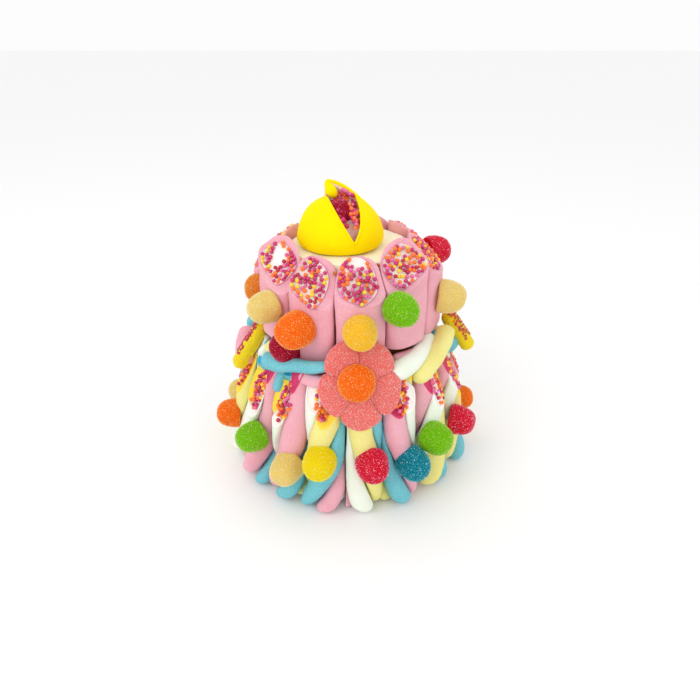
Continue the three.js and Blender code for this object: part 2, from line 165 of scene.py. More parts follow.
def spread(tree, value, low, high, to_low=0.0, to_high=1.0):
    """Stretches a value from one range to another, and clamps it."""
    sockets = {"Value": value, "From Min": low, "From Max": high, "To Min": to_low, "To Max": to_high}
    return new_node(tree, "ShaderNodeMapRange", sockets).outputs[0]


def calculate(tree, operation, first, second):
    """One step of arithmetic with two sockets or values. Gives the socket of the result."""
    return new_node(tree, "ShaderNodeMath", {0: first, 1: second}, operation=operation).outputs[0]


def new_group(name, inputs, outputs):
    """An empty shader node group with its sockets. Returns the tree, its input and its output node."""
    tree = bpy.data.node_groups.new(name, "ShaderNodeTree")
    for label, kind, default in inputs:
        socket = tree.interface.new_socket(label, in_out="INPUT", socket_type=kind)
        socket.default_value = default
    for label, kind in outputs:
        tree.interface.new_socket(label, in_out="OUTPUT", socket_type=kind)
    return tree, tree.nodes.new("NodeGroupInput"), tree.nodes.new("NodeGroupOutput")


# %% The powder group
GREY = (0.5, 0.5, 0.5, 1)
WHITE = (1, 1, 1, 1)
FINE_SCALE, BROAD_SCALE = 1400, 70      # of the specks and of the clouds in the colour
CLOUDINESS = 0.22

powder, powder_in, powder_out = new_group(
    "powder",
    [("Color", "NodeSocketColor", GREY), ("Dust", "NodeSocketFloat", 0.2),
     ("Grain", "NodeSocketFloat", 0.3)],
    [("Color", "NodeSocketColor"), ("Roughness", "NodeSocketFloat"), ("Normal", "NodeSocketVector")],
)
place = new_node(powder, "ShaderNodeTexCoord").outputs["Object"]
fine = new_node(powder, "ShaderNodeTexNoise", {"Vector": place, "Scale": FINE_SCALE, "Detail": 3})
broad = new_node(powder, "ShaderNodeTexNoise", {"Vector": place, "Scale": BROAD_SCALE, "Detail": 4})
specks = spread(powder, fine.outputs["Fac"], 0.42, 0.72)
clouds = spread(powder, broad.outputs["Fac"], 0.35, 0.7)
dust = calculate(powder, "MULTIPLY", specks, powder_in.outputs["Dust"])
deep = mix_colours(powder, 1.0, powder_in.outputs["Color"], powder_in.outputs["Color"], "MULTIPLY")
shade = calculate(powder, "MULTIPLY", clouds, CLOUDINESS)
mottled = mix_colours(powder, shade, powder_in.outputs["Color"], deep)
dusted = mix_colours(powder, dust, mottled, WHITE)
bump = new_node(powder, "ShaderNodeBump", {"Height": fine.outputs["Fac"], "Distance": 0.0004,
                                            "Strength": powder_in.outputs["Grain"]})
rough = spread(powder, specks, 0, 1, 0.68, 0.86)
for label, socket in (("Color", dusted), ("Roughness", rough), ("Normal", bump.outputs[0])):
    powder.links.new(socket, powder_out.inputs[label])
print("group", powder.name, "has", len(powder.nodes), "nodes")

# %% [markdown]
# The second effect is the sugar coat of gum drops and jelly. A Voronoi texture cuts the skin into
# cells as large as sugar crystals, and a share of the cells turns pale and shiny. Real crystals
# are scattered over the drops later. This group fills in the finer ones between them.

# %% The sugar group
PATCH_SCALE = 220               # of the patches with more and with less sugar
PALENESS = 0.7                  # of a cell that is wholly sugar

sugar, sugar_in, sugar_out = new_group(
    "sugar_coat",
    [("Color", "NodeSocketColor", GREY), ("Cover", "NodeSocketFloat", 0.4),
     ("Size", "NodeSocketFloat", 1500)],
    [("Color", "NodeSocketColor"), ("Roughness", "NodeSocketFloat"), ("Normal", "NodeSocketVector")],
)
place = new_node(sugar, "ShaderNodeTexCoord").outputs["Object"]
cells = new_node(sugar, "ShaderNodeTexVoronoi", {"Vector": place, "Scale": sugar_in.outputs["Size"]})
patches = new_node(sugar, "ShaderNodeTexNoise", {"Vector": place, "Scale": PATCH_SCALE, "Detail": 3})
chance = new_node(sugar, "ShaderNodeSeparateColor", {"Color": cells.outputs["Color"]}).outputs[0]
uneven = spread(sugar, patches.outputs["Fac"], 0.3, 0.7, -0.25, 0.25)
limit = calculate(sugar, "ADD", sugar_in.outputs["Cover"], uneven)
over = calculate(sugar, "SUBTRACT", limit, chance)
frosted = spread(sugar, over, -0.02, 0.12)
core_of_cell = spread(sugar, cells.outputs["Distance"], 0.0, 0.6, 1.0, 0.3)
pale = calculate(sugar, "MULTIPLY", frosted, core_of_cell)
softened = calculate(sugar, "MULTIPLY", pale, PALENESS)
tint = new_node(sugar, "ShaderNodeGamma", {"Color": sugar_in.outputs["Color"], "Gamma": 0.5}).outputs[0]
coated = mix_colours(sugar, softened, sugar_in.outputs["Color"], tint)
bump = new_node(sugar, "ShaderNodeBump", {"Height": pale, "Distance": 0.0005, "Strength": 0.8})
rough = spread(sugar, pale, 0, 1, 0.52, 0.3)
for label, socket in (("Color", coated), ("Roughness", rough), ("Normal", bump.outputs[0])):
    sugar.links.new(socket, sugar_out.inputs[label])
print("group", sugar.name, "has", len(sugar.nodes), "nodes")


# %% Materials made with the groups
def new_material(name, group, values, rim=0.0, **shader):
    """A Principled material whose colour, roughness and normal come from a group. rim says how much
    paler it is painted where it is seen edge on, a painted sheen that depends on the view."""
    material = bpy.data.materials.new(name)
    material.use_nodes = True
    tree = material.node_tree
    principled = tree.nodes["Principled BSDF"]
    effect = tree.nodes.new("ShaderNodeGroup")
    effect.node_tree = group
    for label, value in values.items():
        effect.inputs[label].default_value = value
    colour = effect.outputs["Color"]
    if rim:
        # painted sheen: the colour turns paler where the surface is seen edge on
        edge = new_node(tree, "ShaderNodeLayerWeight", {"Blend": 0.5}).outputs["Facing"]
        tint = new_node(tree, "ShaderNodeGamma", {"Color": colour, "Gamma": 0.4}).outputs[0]
        colour = mix_colours(tree, spread(tree, edge, 0.5, 0.95, 0, rim), colour, tint)
    tree.links.new(colour, principled.inputs["Base Color"])
    for label in ("Roughness", "Normal"):
        tree.links.new(effect.outputs[label], principled.inputs[label])
    for label, value in shader.items():
        principled.inputs[label.replace("_", " ")].default_value = value
    return material


SOFT = dict(Subsurface_Weight=0.25, Subsurface_Scale=0.004, Subsurface_Radius=(1.0, 0.6, 0.5),
            Specular_IOR_Level=0.25)
FIRM = dict(Subsurface_Weight=0.1, Subsurface_Scale=0.002, Subsurface_Radius=(1.0, 0.8, 0.3),
            Specular_IOR_Level=0.06)
# rim in JELLY is a painted sheen, a paler colour where a jelly is seen edge on
JELLY = dict(Subsurface_Weight=0.4, Subsurface_Scale=0.005, Subsurface_Radius=(1.0, 0.5, 0.35),
             Specular_IOR_Level=0.05, rim=0.7)
MARSHMALLOW = {                 # outside colours
    "pink": (234, 168, 182), "white": (238, 244, 230),
    "yellow": (236, 228, 134), "blue": (102, 192, 204),
}
INSIDES = {                     # the same sweets where they are cut
    "pink": (214, 44, 104), "white": (250, 247, 240), "yellow": (255, 222, 60), "blue": (44, 184, 220),
}


def powdery(name, tone, dust, grain, **shader):
    """A material with the powder group. tone is a screen colour."""
    return new_material(name, powder, {"Color": srgb(*tone), "Dust": dust, "Grain": grain}, **shader)


def sugary(name, tone, cover, size):
    """A jelly material with the sugar group. tone is a screen colour."""
    return new_material(name, sugar, {"Color": srgb(*tone), "Cover": cover, "Size": size}, **JELLY)


skins = {name: powdery(f"marshmallow_{name}", tone, dust=0.2, grain=0.35, **SOFT)
         for name, tone in MARSHMALLOW.items()}
cuts = {name: powdery(f"cut_{name}", tone, dust=0.08, grain=0.6, **SOFT)
        for name, tone in INSIDES.items()}
# the darker pink of the lip is painted shade, a shadow line along the pinched lip
lip_painted_shade = powdery("lip_pink_painted_shade", (214, 122, 152), dust=0.05, grain=0.3, **SOFT)
print("marshmallow materials:", ", ".join([*skins, *cuts]))

# %% Materials of the gum drops and the rest
GUM = {
    "gum_gold": (238, 180, 30), "gum_orange": (240, 96, 6), "gum_cream": (228, 196, 104),
    "gum_amber": (216, 112, 20), "gum_green": (104, 178, 4), "gum_red": (206, 14, 40),
    "gum_dark_red": (150, 4, 30), "gum_teal": (4, 116, 134), "gum_yellow": (234, 206, 2),
    "jelly_coral": (234, 108, 100),
}
gums = {name: sugary(name, tone, cover=0.42, size=1500) for name, tone in GUM.items()}
ball_skin = powdery("ball_yellow", (255, 230, 0), dust=0.0, grain=0.25, **FIRM)
ball_inside = powdery("ball_inside", (246, 214, 206), dust=0.1, grain=0.7, **SOFT)
sour_skin = sugary("sour_yellow", (244, 216, 24), cover=0.4, size=1700)
foam = powdery("foam_cream", (250, 243, 214), dust=0.2, grain=0.6, **SOFT)
sponge = powdery("sponge_brown", (190, 118, 48), dust=0.1, grain=1.0)
others = [material.name for material in (ball_skin, ball_inside, sour_skin, foam, sponge)]
print("other materials:", ", ".join([*gums, *others]))

# %% [markdown]
# The measures below repeat the driving dimensions of the solid model, in millimetres. Angles are
# degrees round the cake, from the front towards the right. Every place is given by its angle, its
# distance from the middle and its height.

# %% Measures and places
GAP = 0.3
STICK = Form(ring=53.5, half_width=14.6, half_depth=11.7, foot=107, top=190, tip_radius=43, tip=173,
             face_radius=65, face_bottom=149, inside=41)
ROPE = Form(ring=72.5, foot=0, top=99, tip_radius=67, tip=98, face_radius=86, face_bottom=60,
            inside=57.4, splay=5.5, lean=2.5)
# one entry for each slice in front: (where it starts, how far it is lifted, how its face is turned)
FRONT_STICKS = [(-72, 2, 36), (-38, -4, 16), (-8.5, -2, 0), (22.5, 4, -22), (55, 3, 10)]
FRONT_ROPES = [(-64, -4, 0), (-43, 0, -20), (-22, 8, -5), (-1.5, 7, 0), (16, 10, 0), (34, 0, 16),
               (61, -5, 8)]
STICKS_END, STICK_COUNT = 86, 12            # where the last slice in front ends, and how many in all
ROPES_END, ROPE_COUNT = 83, 17
STICK_PAIRS = [7, 9]                        # slices that share a node with the next one
ROPE_PAIRS = [8, 10, 12, 14]


def outward(angle):
    """The direction that points straight out from the cake at an angle."""
    return Vector((math.sin(math.radians(angle)), -math.cos(math.radians(angle)), 0))


def sideways(angle):
    """The direction along the cake's round, towards larger angles."""
    return Vector((math.cos(math.radians(angle)), math.sin(math.radians(angle)), 0))


def at(angle, radius, z):
    """A place by its angle, radius and height."""
    return outward(angle) * radius + Vector((0, 0, z))


def mix(first, second, share):
    """The number that lies a share of the way from the first to the second."""
    return first + (second - first) * share


def slices(front, end, count):
    """The slices of a tier: the measured ones at the front, the rest evenly round the back."""
    starts = list(front)
    step = (360 + front[0][0] - end) / (count - len(front))
    for number in range(count - len(front)):
        starts.append((end + step * number, (number * 5) % 4 - 2, 0))      # lifts of -2 to 1
    made = []
    for number, (start, lift, yaw) in enumerate(starts):
        stop = starts[0][0] + 360 if number == count - 1 else starts[number + 1][0]
        made.append(Form(number=number, start=start, end=stop, angle=(start + stop) / 2,
                         lift=lift, yaw=yaw))
    return made


stick_slices = slices(FRONT_STICKS, STICKS_END, STICK_COUNT)
rope_slices = slices(FRONT_ROPES, ROPES_END, ROPE_COUNT)
print(len(stick_slices), "sticks and", len(rope_slices), "ropes")


# %% [markdown]
# A stick is soft. Where it meets its neighbours it is pressed flat, and the flat runs smoothly
# into the round front. So its skin starts as a rolled-up grid, and each point that would cross
# into the next slice is pushed back. A soft push, which starts a little early, keeps the edge of
# the flat from being sharp.

# %% Helpers for soft forms
def soft_push(short, ease=1.6):
    """How far to push a point that is short millimetres past a wall, easing in before the wall."""
    return 0.5 * (short + math.sqrt(short * short + ease * ease))


def keep_in_slice(point, part, inside, ease=1.6):
    """Pushes a point back into its slice of the cake, and out of the core."""
    for normal in (sideways(part.start), -sideways(part.end)):
        point = point + normal * soft_push(GAP / 2 - point.dot(normal), ease)
    out = outward(part.angle)
    return point + out * soft_push(inside - point.dot(out))


def uneven_push(point, size, amount, seed):
    """A smooth random push, the same on every run, with lumps of the given size in millimetres."""
    return noise.noise_vector(point / size + Vector((seed * 7.3, seed * 3.1, seed * 1.7))) * amount


def round_end(distance, radius):
    """The width, from 0 to 1, of a rod with a round end at a distance from its end."""
    near = min(max(distance / radius, 0), 1)
    return math.sqrt(1 - (1 - near) ** 2)


def squarish(spoke, power):
    """A point on a rounded square. A power of 2 makes it a circle, and more makes it squarer."""
    across, out = math.cos(spoke), math.sin(spoke)
    size = (abs(across) ** power + abs(out) ** power) ** (-1 / power)
    return across * size, out * size


# %% Making pieces from rolled-up grids
def roll(columns, rows, place, layers=()):
    """A grid rolled into a closed skin. place(column, row) says where each of its points goes, and
    the next material starts at each row in layers."""
    bm = bmesh.new()
    bmesh.ops.create_grid(bm, x_segments=columns, y_segments=rows, size=0.5)
    for face in bm.faces:
        face.material_index = sum((face.calc_center_median().y + 0.5) * rows > layer for layer in layers)
    for vert in bm.verts:
        vert.co = place(round((vert.co.x + 0.5) * columns) % columns, round((vert.co.y + 0.5) * rows))
    bmesh.ops.remove_doubles(bm, verts=bm.verts, dist=0.002)
    bmesh.ops.recalc_face_normals(bm, faces=bm.faces)
    return bm


def sausage(line, thickness, columns=20):
    """A round bar along a line of places, with a thickness at each of them."""
    def place(column, row):
        before, after = line[max(row - 1, 0)], line[min(row + 1, len(line) - 1)]
        along = (after - before).normalized()
        first = along.cross(Vector((0, 1, 0.01))).normalized()
        spoke = 2 * math.pi * column / columns
        around = first * math.cos(spoke) + first.cross(along) * math.sin(spoke)
        return line[row] + around * thickness[row]
    return roll(columns, len(line) - 1, place)


# %% Joining forms and making them pieces
def join(target, source):
    """Moves all of one bmesh into another."""
    carrier = bpy.data.meshes.new("carrier")
    source.to_mesh(carrier)
    source.free()
    target.from_mesh(carrier)
    bpy.data.meshes.remove(carrier)


def make_piece(bm, name, materials, slot, nodes=()):
    """Makes a bmesh in millimetres a smooth piece that rides on the cake, in place of its nodes."""
    bmesh.ops.scale(bm, vec=(MM, MM, MM), verts=bm.verts)
    data = bpy.data.meshes.new(name)
    bm.to_mesh(data)
    bm.free()
    data.polygons.foreach_set("use_smooth", [True] * len(data.polygons))
    for material in materials:
        data.materials.append(material)
    piece = bpy.data.objects.new(name, data)
    bpy.context.scene.collection.objects.link(piece)
    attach(piece, "root")
    if nodes:
        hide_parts(*nodes)
    return piece


# %% [markdown]
# Each stick and rope is cut aslant with scissors, which pinch the skin into a raised lip round
# the crumb. Cutting a finished body with a plane would leave sliver faces and a sharp edge there.
# So the lines up the side of the body are ended where they meet the plane of the cut, and the
# same grid then runs on over the lip and down into the crumb, as rings that get smaller.

# %% The slanting cut
HALVINGS = 16
CROWDING = 1.35                 # a power above 1 crowds the rows towards the foot


def face_frame(part, kind, proud=0.0):
    """The middle of a cut face, its long way up, its width and its normal."""
    run = kind.face_radius - kind.tip_radius
    rise = kind.tip - kind.face_bottom
    ring = (kind.face_radius + kind.tip_radius) / 2
    facing = outward(part.angle + part.yaw)
    up = (facing * -run + Vector((0, 0, rise))).normalized()
    across = sideways(part.angle + part.yaw)
    normal = across.cross(up).normalized()
    middle = at(part.angle, ring, kind.face_bottom + rise / 2 + part.lift) + normal * proud
    return Form(middle=middle, up=up, across=across, normal=normal)


def meet(side, spoke, face, low, high):
    """The height at which a line up the side meets the cut, found by halving."""
    for _ in range(HALVINGS):
        middle = (low + high) / 2
        above = (side(spoke, middle) - face.middle).dot(face.normal) > 0
        low, high = (low, middle) if above else (middle, high)
    return low


# %% A soft body with a slanting cut
def cut_sweet(side, foot, top, face, rings, layers, columns, rows, uneven, shift=(0, 0), pinch=(0, 0)):
    """A soft body with a slanting cut. side(spoke, height) is its skin, and each ring of the cut
    face is (width, length, pinched, height), with the width and length as shares of the edge. pinch
    makes the upper and lower end of a ring pointed. A new material starts at each ring in layers."""
    spokes = [2 * math.pi * column / columns for column in range(columns)]
    heights = [meet(side, spoke, face, foot, top) for spoke in spokes]
    edge = [side(spoke, height) - face.middle for spoke, height in zip(spokes, heights)]
    flat = [(point.dot(face.across), point.dot(face.up)) for point in edge]
    centre = [sum(axis) / columns for axis in zip(*flat)]
    reach = max(abs(v - centre[1]) for _, v in flat)

    def on_face(u, v, height):
        return face.middle + face.across * u + face.up * v + face.normal * height

    def ring_point(column, ring):
        wide, tall, pinched, height = ring
        u, v = flat[column][0] - centre[0], flat[column][1] - centre[1]
        slim = 1 - pinched * pinch[v < 0] * (v / reach) ** 2
        moved = min(1, (1 - wide) * 5)
        across = centre[0] + u * wide * slim + shift[0] * moved
        up = centre[1] + v * tall + shift[1] * moved
        return on_face(across, up, height)

    def place(column, row):
        if row > rows:
            point = ring_point(column, rings[row - rows - 1])
        else:
            share = (row / rows) ** CROWDING
            point = side(spokes[column], mix(foot, heights[column], share))
        return point + uneven(point)

    body = roll(columns, rows + len(rings), place, [rows + ring for ring in layers])
    mouth = rings[layers[-1] + 1]
    outline = [ring_point(column, mouth) - face.middle for column in range(columns)]
    return body, [(point.dot(face.across), point.dot(face.up)) for point in outline]


# %% [markdown]
# The sprinkles are small sugar balls of just under three millimetres. They are only planned
# here, as a list of places, sizes and colours, and are made as one piece at the end. Places are
# drawn at random inside the outline of a cut face, with a fixed seed, and a place too close to
# an earlier one is drawn again, so that they lie side by side as real ones do.

# %% Planning the sprinkles
rng = random.Random(20)
SPRINKLE = 1.4                  # radius
TRIES = 14                      # how often a place is drawn for each sprinkle, at most
RAGGED = (0.75, 1.25)           # how uneven the edge of a bare patch is
SPRINKLE_TONES = {
    "magenta": (204, 28, 104), "crimson": (188, 12, 62), "light_pink": (230, 104, 160),
    "orange": (253, 118, 30), "yellow": (255, 208, 30), "brown": (190, 92, 24),
}
sprinkles = []                  # (place, radius, colour)
print("sprinkles of about", 2 * SPRINKLE, "mm in", len(SPRINKLE_TONES), "colours")


# %% Strewing sprinkles over an outline
def is_inside(u, v, outline):
    """True where a flat point lies inside a closed outline."""
    inside = False
    for (u1, v1), (u2, v2) in zip(outline, outline[1:] + outline[:1]):
        if (v1 > v) != (v2 > v) and u < (u2 - u1) * (v - v1) / (v2 - v1) + u1:
            inside = not inside
    return inside


def add_sprinkle(place, radius, tone):
    """Plans one sprinkle, a little larger or smaller than its radius says."""
    sprinkles.append((place, radius * rng.uniform(0.88, 1.12), srgb(*SPRINKLE_TONES[tone])))


def strew(outline, face, count, tones, lift, bare=(), spacing=1.5):
    """Plans sprinkles over an outline. bare lists round patches (across, up, radius) left empty."""
    low = [min(point[axis] for point in outline) for axis in (0, 1)]
    high = [max(point[axis] for point in outline) for axis in (0, 1)]
    taken = []
    for _ in range(count * TRIES):
        if len(taken) == count:
            break
        u, v = rng.uniform(low[0], high[0]), rng.uniform(low[1], high[1])
        if not is_inside(u, v, outline):
            continue
        if any(math.dist((u, v), (a, b)) < reach * rng.uniform(*RAGGED) for a, b, reach in bare):
            continue
        if any(math.dist((u, v), other) < SPRINKLE * spacing for other in taken):
            continue
        taken.append((u, v))
        height = lift + SPRINKLE * rng.uniform(0.35, 0.95)
        place = face.middle + face.across * u + face.up * v + face.normal * height
        add_sprinkle(place, SPRINKLE, rng.choice(tones))
    return len(taken)


# %% [markdown]
# The upper tier: twelve pink sticks, white inside. The scissors pinched the skin, so the white
# mouth is a pointed oval that is narrower than the stick and often lies to one side.

# %% Sticks
STICK_TONES = ["magenta", "magenta", "crimson", "light_pink", "orange", "orange", "yellow"]
# slice number: (width, length, shift across and up, pinch of upper and lower end, bare patches)
MOUTHS = {
    0: (0.84, 0.7, (-0.4, 0.2), (0.35, 0.5), [(-1.5, 7, 5), (-2, 1.5, 5.5)]),
    1: (0.8, 0.93, (-2.2, 0), (0.6, 0.55), [(4.5, 8, 2.5)]),
    2: (0.84, 0.95, (-1.6, -0.4), (0.2, 0.8), [(0, 12.5, 5.5), (-6, -3, 2.5)]),
    3: (0.92, 0.78, (0, 0), (0.4, 0.5), [(1, 8, 2.5)]),
    4: (0.95, 0.82, (0, 0.5), (0.5, 0.5), []),
}
SPRINKLES_ON_STICK = 84
STICK_WIDE = 18                 # half the width of a stick's outer side before its neighbours press it
STICK_LAYERS = [3, 5]           # the rings at which the darker pink of the lip, a painted shade line, and the crumb start
STICK_GRID = (56, 30)           # columns round a stick and rows up it
PLAIN_MOUTH = (0.88, 0.9, (0, 0), (0.5, 0.5), [])           # of the sticks at the back
print("mouths measured for", len(MOUTHS), "sticks")


# %% One stick
def stick_rings(wide, tall):
    """The rings of a stick's cut: over the edge, up to the lip, and down into the crumb."""
    lip = [(0.985, 0.985, 0, 0.4), (0.96, 0.965, 0.1, 0.5), (wide + 0.03, tall + 0.03, 1, 0.3),
           (wide + 0.02, tall + 0.02, 1, 0.8), (wide, tall, 1, 1.05),
           (wide - 0.015, tall - 0.015, 1, 0.8), (wide - 0.025, tall - 0.025, 1, 0.4)]
    return lip + [(share * wide, share * tall, 1, 0.35) for share in (0.75, 0.45, 0.0)]


def add_stick(target, part):
    """Adds one slant-cut stick to a bmesh and strews its cut face."""
    foot = STICK.foot + min(part.lift, 3)
    low = rng.uniform(-1, 1)

    def side(spoke, z):
        across, out = squarish(spoke, 2.7 if math.sin(spoke) > 0 else 2.1)
        end = round_end(z - foot, 4)
        half = mix(STICK.half_width, STICK_WIDE, min(max(out + 0.7, 0), 1))
        point = at(part.angle, STICK.ring, z) + sideways(part.angle) * across * half * end
        point += outward(part.angle) * out * STICK.half_depth * end
        point.z += low * across * (1 - min((z - foot) / 30, 1))
        return keep_in_slice(point, part, STICK.inside)

    def uneven(point):
        return uneven_push(point, 19, 1.0, part.number) + uneven_push(point, 6, 0.22, part.number)

    wide, tall, shift, pinch, bare = MOUTHS.get(part.number, PLAIN_MOUTH)
    face = face_frame(part, STICK)
    rings = stick_rings(wide, tall)
    stick, mouth = cut_sweet(side, foot, STICK.top, face, rings, STICK_LAYERS, *STICK_GRID, uneven,
                             shift, pinch)
    join(target, stick)
    return strew(mouth, face, SPRINKLES_ON_STICK, STICK_TONES, 0.2, bare, spacing=1.6)


# %% All the sticks
def make_tier(name, parts, pairs, add, materials):
    """Makes the sticks or ropes of a tier, one piece for each node. Paired ones share a node."""
    bm = bmesh.new()
    for part in parts:
        count = add(bm, part)
        if part.number in pairs:
            continue
        node = f"{name}_{part.number + 1:02d}"
        piece = make_piece(bm, f"{node}_soft", materials, SLOTS[node], [node])
        print(piece.name, len(piece.data.polygons), "faces,", count, "sprinkles")
        bm = bmesh.new()
    bm.free()


make_tier("stick", stick_slices, STICK_PAIRS, add_stick, [skins["pink"], lip_painted_shade, cuts["white"]])

# %% [markdown]
# The lower tier: each rope is four strands of marshmallow, pressed together and twisted. A strand
# starts as a round tube that winds round the rope's middle line. Pressing it into its own share of
# the rope gives the creases between the strands. The scissors squeezed the ropes, so some strands
# take more of the round at the top than others. Near the floor the strands part, and each ends in
# a round tip of its own.

# %% Ropes
STRAND = Form(radius=9.6, offset=4.8, low_radius=8.6, low_offset=8.0, tip=8)
LEFT_ORDER = ["yellow", "white", "pink", "blue"]
RIGHT_ORDER = ["pink", "white", "yellow", "blue"]
EVEN = (90, 90, 90, 90)
# for each rope in front: (strands in order, their widths in degrees, where the first one starts,
# twist, how far the foot moves aside, how far some strands stand proud)
TWISTS = [
    (LEFT_ORDER, (100, 50, 145, 65), -84, 200, 0, {"pink": 3, "blue": 1.5}),
    (LEFT_ORDER, (90, 50, 155, 65), -99, 235, 0, {"pink": 3, "blue": 1.5}),
    (["white", "yellow", "blue", "pink"], EVEN, -93, 215, -3, {"white": 0.6}),
    (RIGHT_ORDER, EVEN, 94, -141, -1, {}),
    (["blue", "pink", "white", "yellow"], (80, 90, 65, 125), -177, -141, 2,
     {"yellow": 1.5, "white": 0.6}),
    (RIGHT_ORDER, (95, 65, 125, 75), -110, 186, 2, {"pink": 3, "white": 2.5, "blue": 1.5}),
    (RIGHT_ORDER, (100, 50, 140, 70), -138, 195, 2, {"pink": 2.5, "white": 2, "blue": 1.5}),
]
CLUSTERS = {5: (3.5, 1.2), 6: (3.5, 1.2)}      # rope number: how far its sprinkles lie aside and out
ROPE_TONES = ["magenta", "crimson", "light_pink", "orange", "orange", "yellow"]
SPRINKLES_ON_ROPE = 40
CLUSTER_OVAL = [(6.6 * u, 15 * v) for u, v in (squarish(k * math.pi / 12, 1.7) for k in range(24))]
STRAND_RINGS = [(0.975, 0.985, 0, 0.35), (0.92, 0.95, 0, 0.55), (0.85, 0.91, 0, 0.25),
                (0.8, 0.88, 0, -0.35), (0.55, 0.6, 0, -0.5), (0.0, 0.0, 0, -0.5)]
STRAND_GRID = (26, 34)          # columns round a strand and rows up it
ROOM_ABOVE = 5                  # how far above the rope's top a line may still meet the cut
print("twists measured for", len(TWISTS), "ropes")


# %% One strand of a rope
def press_in_share(across, out, start, end, ease):
    """Pushes a point of a strand back into the strand's own share of the rope."""
    for side, edge in ((-1, math.radians(start)), (1, math.radians(end))):
        normal = (-side * math.cos(edge), side * math.sin(edge))
        push = soft_push(0.05 - (across * normal[0] + out * normal[1]), ease)
        across += normal[0] * push
        out += normal[1] * push
    return across, out


def add_strand(target, part, tone, start, end, twist, sweep, proud, seed):
    """Adds one strand of a rope, cut aslant at the top and round at the foot. start and end are
    the angles that the strand fills between the others, as (at the top, at the foot)."""
    foot = ROPE.foot + 0.4 + rng.uniform(0, 3)
    reach = rng.uniform(0.85, 1.3)

    def side(spoke, z):
        share = z / ROPE.top
        wound = twist * max(1 - share, 0) ** 1.6
        low = (1 - min(share, 1)) ** 2.5
        begins, ends = mix(*start, low) - wound, mix(*end, low) - wound
        offset = mix(STRAND.offset, STRAND.low_offset * reach, low)
        radius = mix(STRAND.radius, STRAND.low_radius, low) * round_end(z - foot, STRAND.tip)
        turned = math.radians((begins + ends) / 2)
        across = math.sin(turned) * offset + math.cos(spoke) * radius
        out = math.cos(turned) * offset + math.sin(spoke) * radius
        across, out = press_in_share(across, out, begins, ends, mix(0.9, 4, low))
        across += sweep * low
        middle = at(part.angle, ROPE.ring + (ROPE.splay - 1) * low - ROPE.lean * share, z)
        point = middle + sideways(part.angle) * across + outward(part.angle) * out
        return keep_in_slice(point, part, ROPE.inside + max(part.lift, 0) * share, 1)

    def uneven(point):
        return uneven_push(point, 16, 0.8, seed) + uneven_push(point, 5, 0.18, seed)

    face = face_frame(part, ROPE, proud)
    top = ROPE.top + ROOM_ABOVE + max(part.lift, 0)
    strand, _ = cut_sweet(side, foot, top, face, STRAND_RINGS, [0], *STRAND_GRID, uneven)
    number = list(skins).index(tone)
    for item in strand.faces:
        item.material_index = number + len(skins) * item.material_index
    join(target, strand)


# %% All the ropes
def add_rope(target, part):
    """Adds the four strands of a rope."""
    if part.number < len(TWISTS):
        order, widths, first, twist, sweep, proud = TWISTS[part.number]
    else:
        order = LEFT_ORDER[part.number % 4:] + LEFT_ORDER[:part.number % 4]
        widths, first, twist, sweep, proud = EVEN, 37 * part.number % 90 - 45, 175, 0, {}
    for number, tone in enumerate(order):
        seed = part.number * 4 + number
        start, end = ((first + sum(widths[:k]), first + 90 * k) for k in (number, number + 1))
        add_strand(target, part, tone, start, end, twist, sweep, proud.get(tone, 0), seed)
    aside, out = CLUSTERS.get(part.number, (0, 0))
    face = face_frame(part, ROPE)
    cluster = [(aside + u, v) for u, v in CLUSTER_OVAL]
    return strew(cluster, face, SPRINKLES_ON_ROPE, ROPE_TONES, out - 0.1)


make_tier("rope", rope_slices, ROPE_PAIRS, add_rope, [*skins.values(), *cuts.values()])

# %% [markdown]
# Gum drops are moulded in starch: a flat foot, round sides and a blunt crown. They are never
# quite round, so each gets its own gentle lumps. The places where sugar crystals will lie are
# picked on the finished skins, evenly by area.

# %% Gum drops
DROP = Form(radius=10.8, height=18.5)
UPPER_DROPS = {                 # name: (angle, height, size, turn sideways, turn upwards, sunk)
    "gold": (5.6, 132, 1, 0, 0, 0), "orange": (-28, 129.5, 1.1, 0, 5, 0),
    "cream_left": (-49, 138.5, 1, -6, -4, 0), "amber_left": (-73, 140, 1, 0, 0, 9),
    "green": (27, 144.5, 1, 0, 0, 0), "cream_right": (68, 137, 1.06, 18, -6, 0),
    "red_back": (112, 151, 1, 0, 0, 3), "gold_back": (150, 138, 1, 0, 0, 0),
    "green_back": (188, 140, 1, 0, 0, 0), "orange_back": (226, 136, 1, 0, 0, 0),
}
LOWER_DROPS = {
    "red": (10, 44, 1.02, 0, -4, 0), "yellow": (-12.5, 45, 1.02, 0, 0, 0),
    "cream": (-28, 34, 1.04, 0, -6, 0), "blue": (28.5, 38, 1.04, 4, -4, 0),
    "green_left": (-48, 45.5, 1, -4, 0, 0), "green_right": (41, 50.5, 1.04, 0, 0, 0),
    "orange_left": (-76, 38, 1, -12, 0, -1), "red_right": (62, 46.5, 0.98, 6, 0, 0),
    "cream_far_left": (-102, 33, 0.95, 0, 0, 0), "orange_far_right": (97, 31, 0.95, 0, 0, 0),
    "yellow_back": (138, 46, 1, 0, 0, 0), "teal_back": (180, 42, 1, 0, 0, 0),
    "red_far_back": (222, 46, 1, 0, 0, 0),
}
SHOULDER_DROPS = {"red": (-38, 109, 1.02, 0, 30, 0)}
WALLS = {"upper": STICK.face_radius - 1, "lower": ROPE.face_radius - 3, "shoulder": 60}
DROP_SHAPE = [(0, 0), (0.8, 0), (0.95, 0.04), (1.0, 0.2), (0.97, 0.42), (0.89, 0.64),
              (0.72, 0.83), (0.42, 0.96), (0, 1)]
DROP_COLUMNS = 56
CRYSTALS_PER_MM2 = 0.72
crystals = []                   # (place, size, colour) of those on the gum drops
flower_crystals = []            # and of those on the jelly flower
drop_count = len(UPPER_DROPS) + len(LOWER_DROPS) + len(SHOULDER_DROPS)
print("places for", drop_count, "gum drops")


# %% Shapes turned on a profile
FINE_COLUMNS = 96               # round the ball and the disc


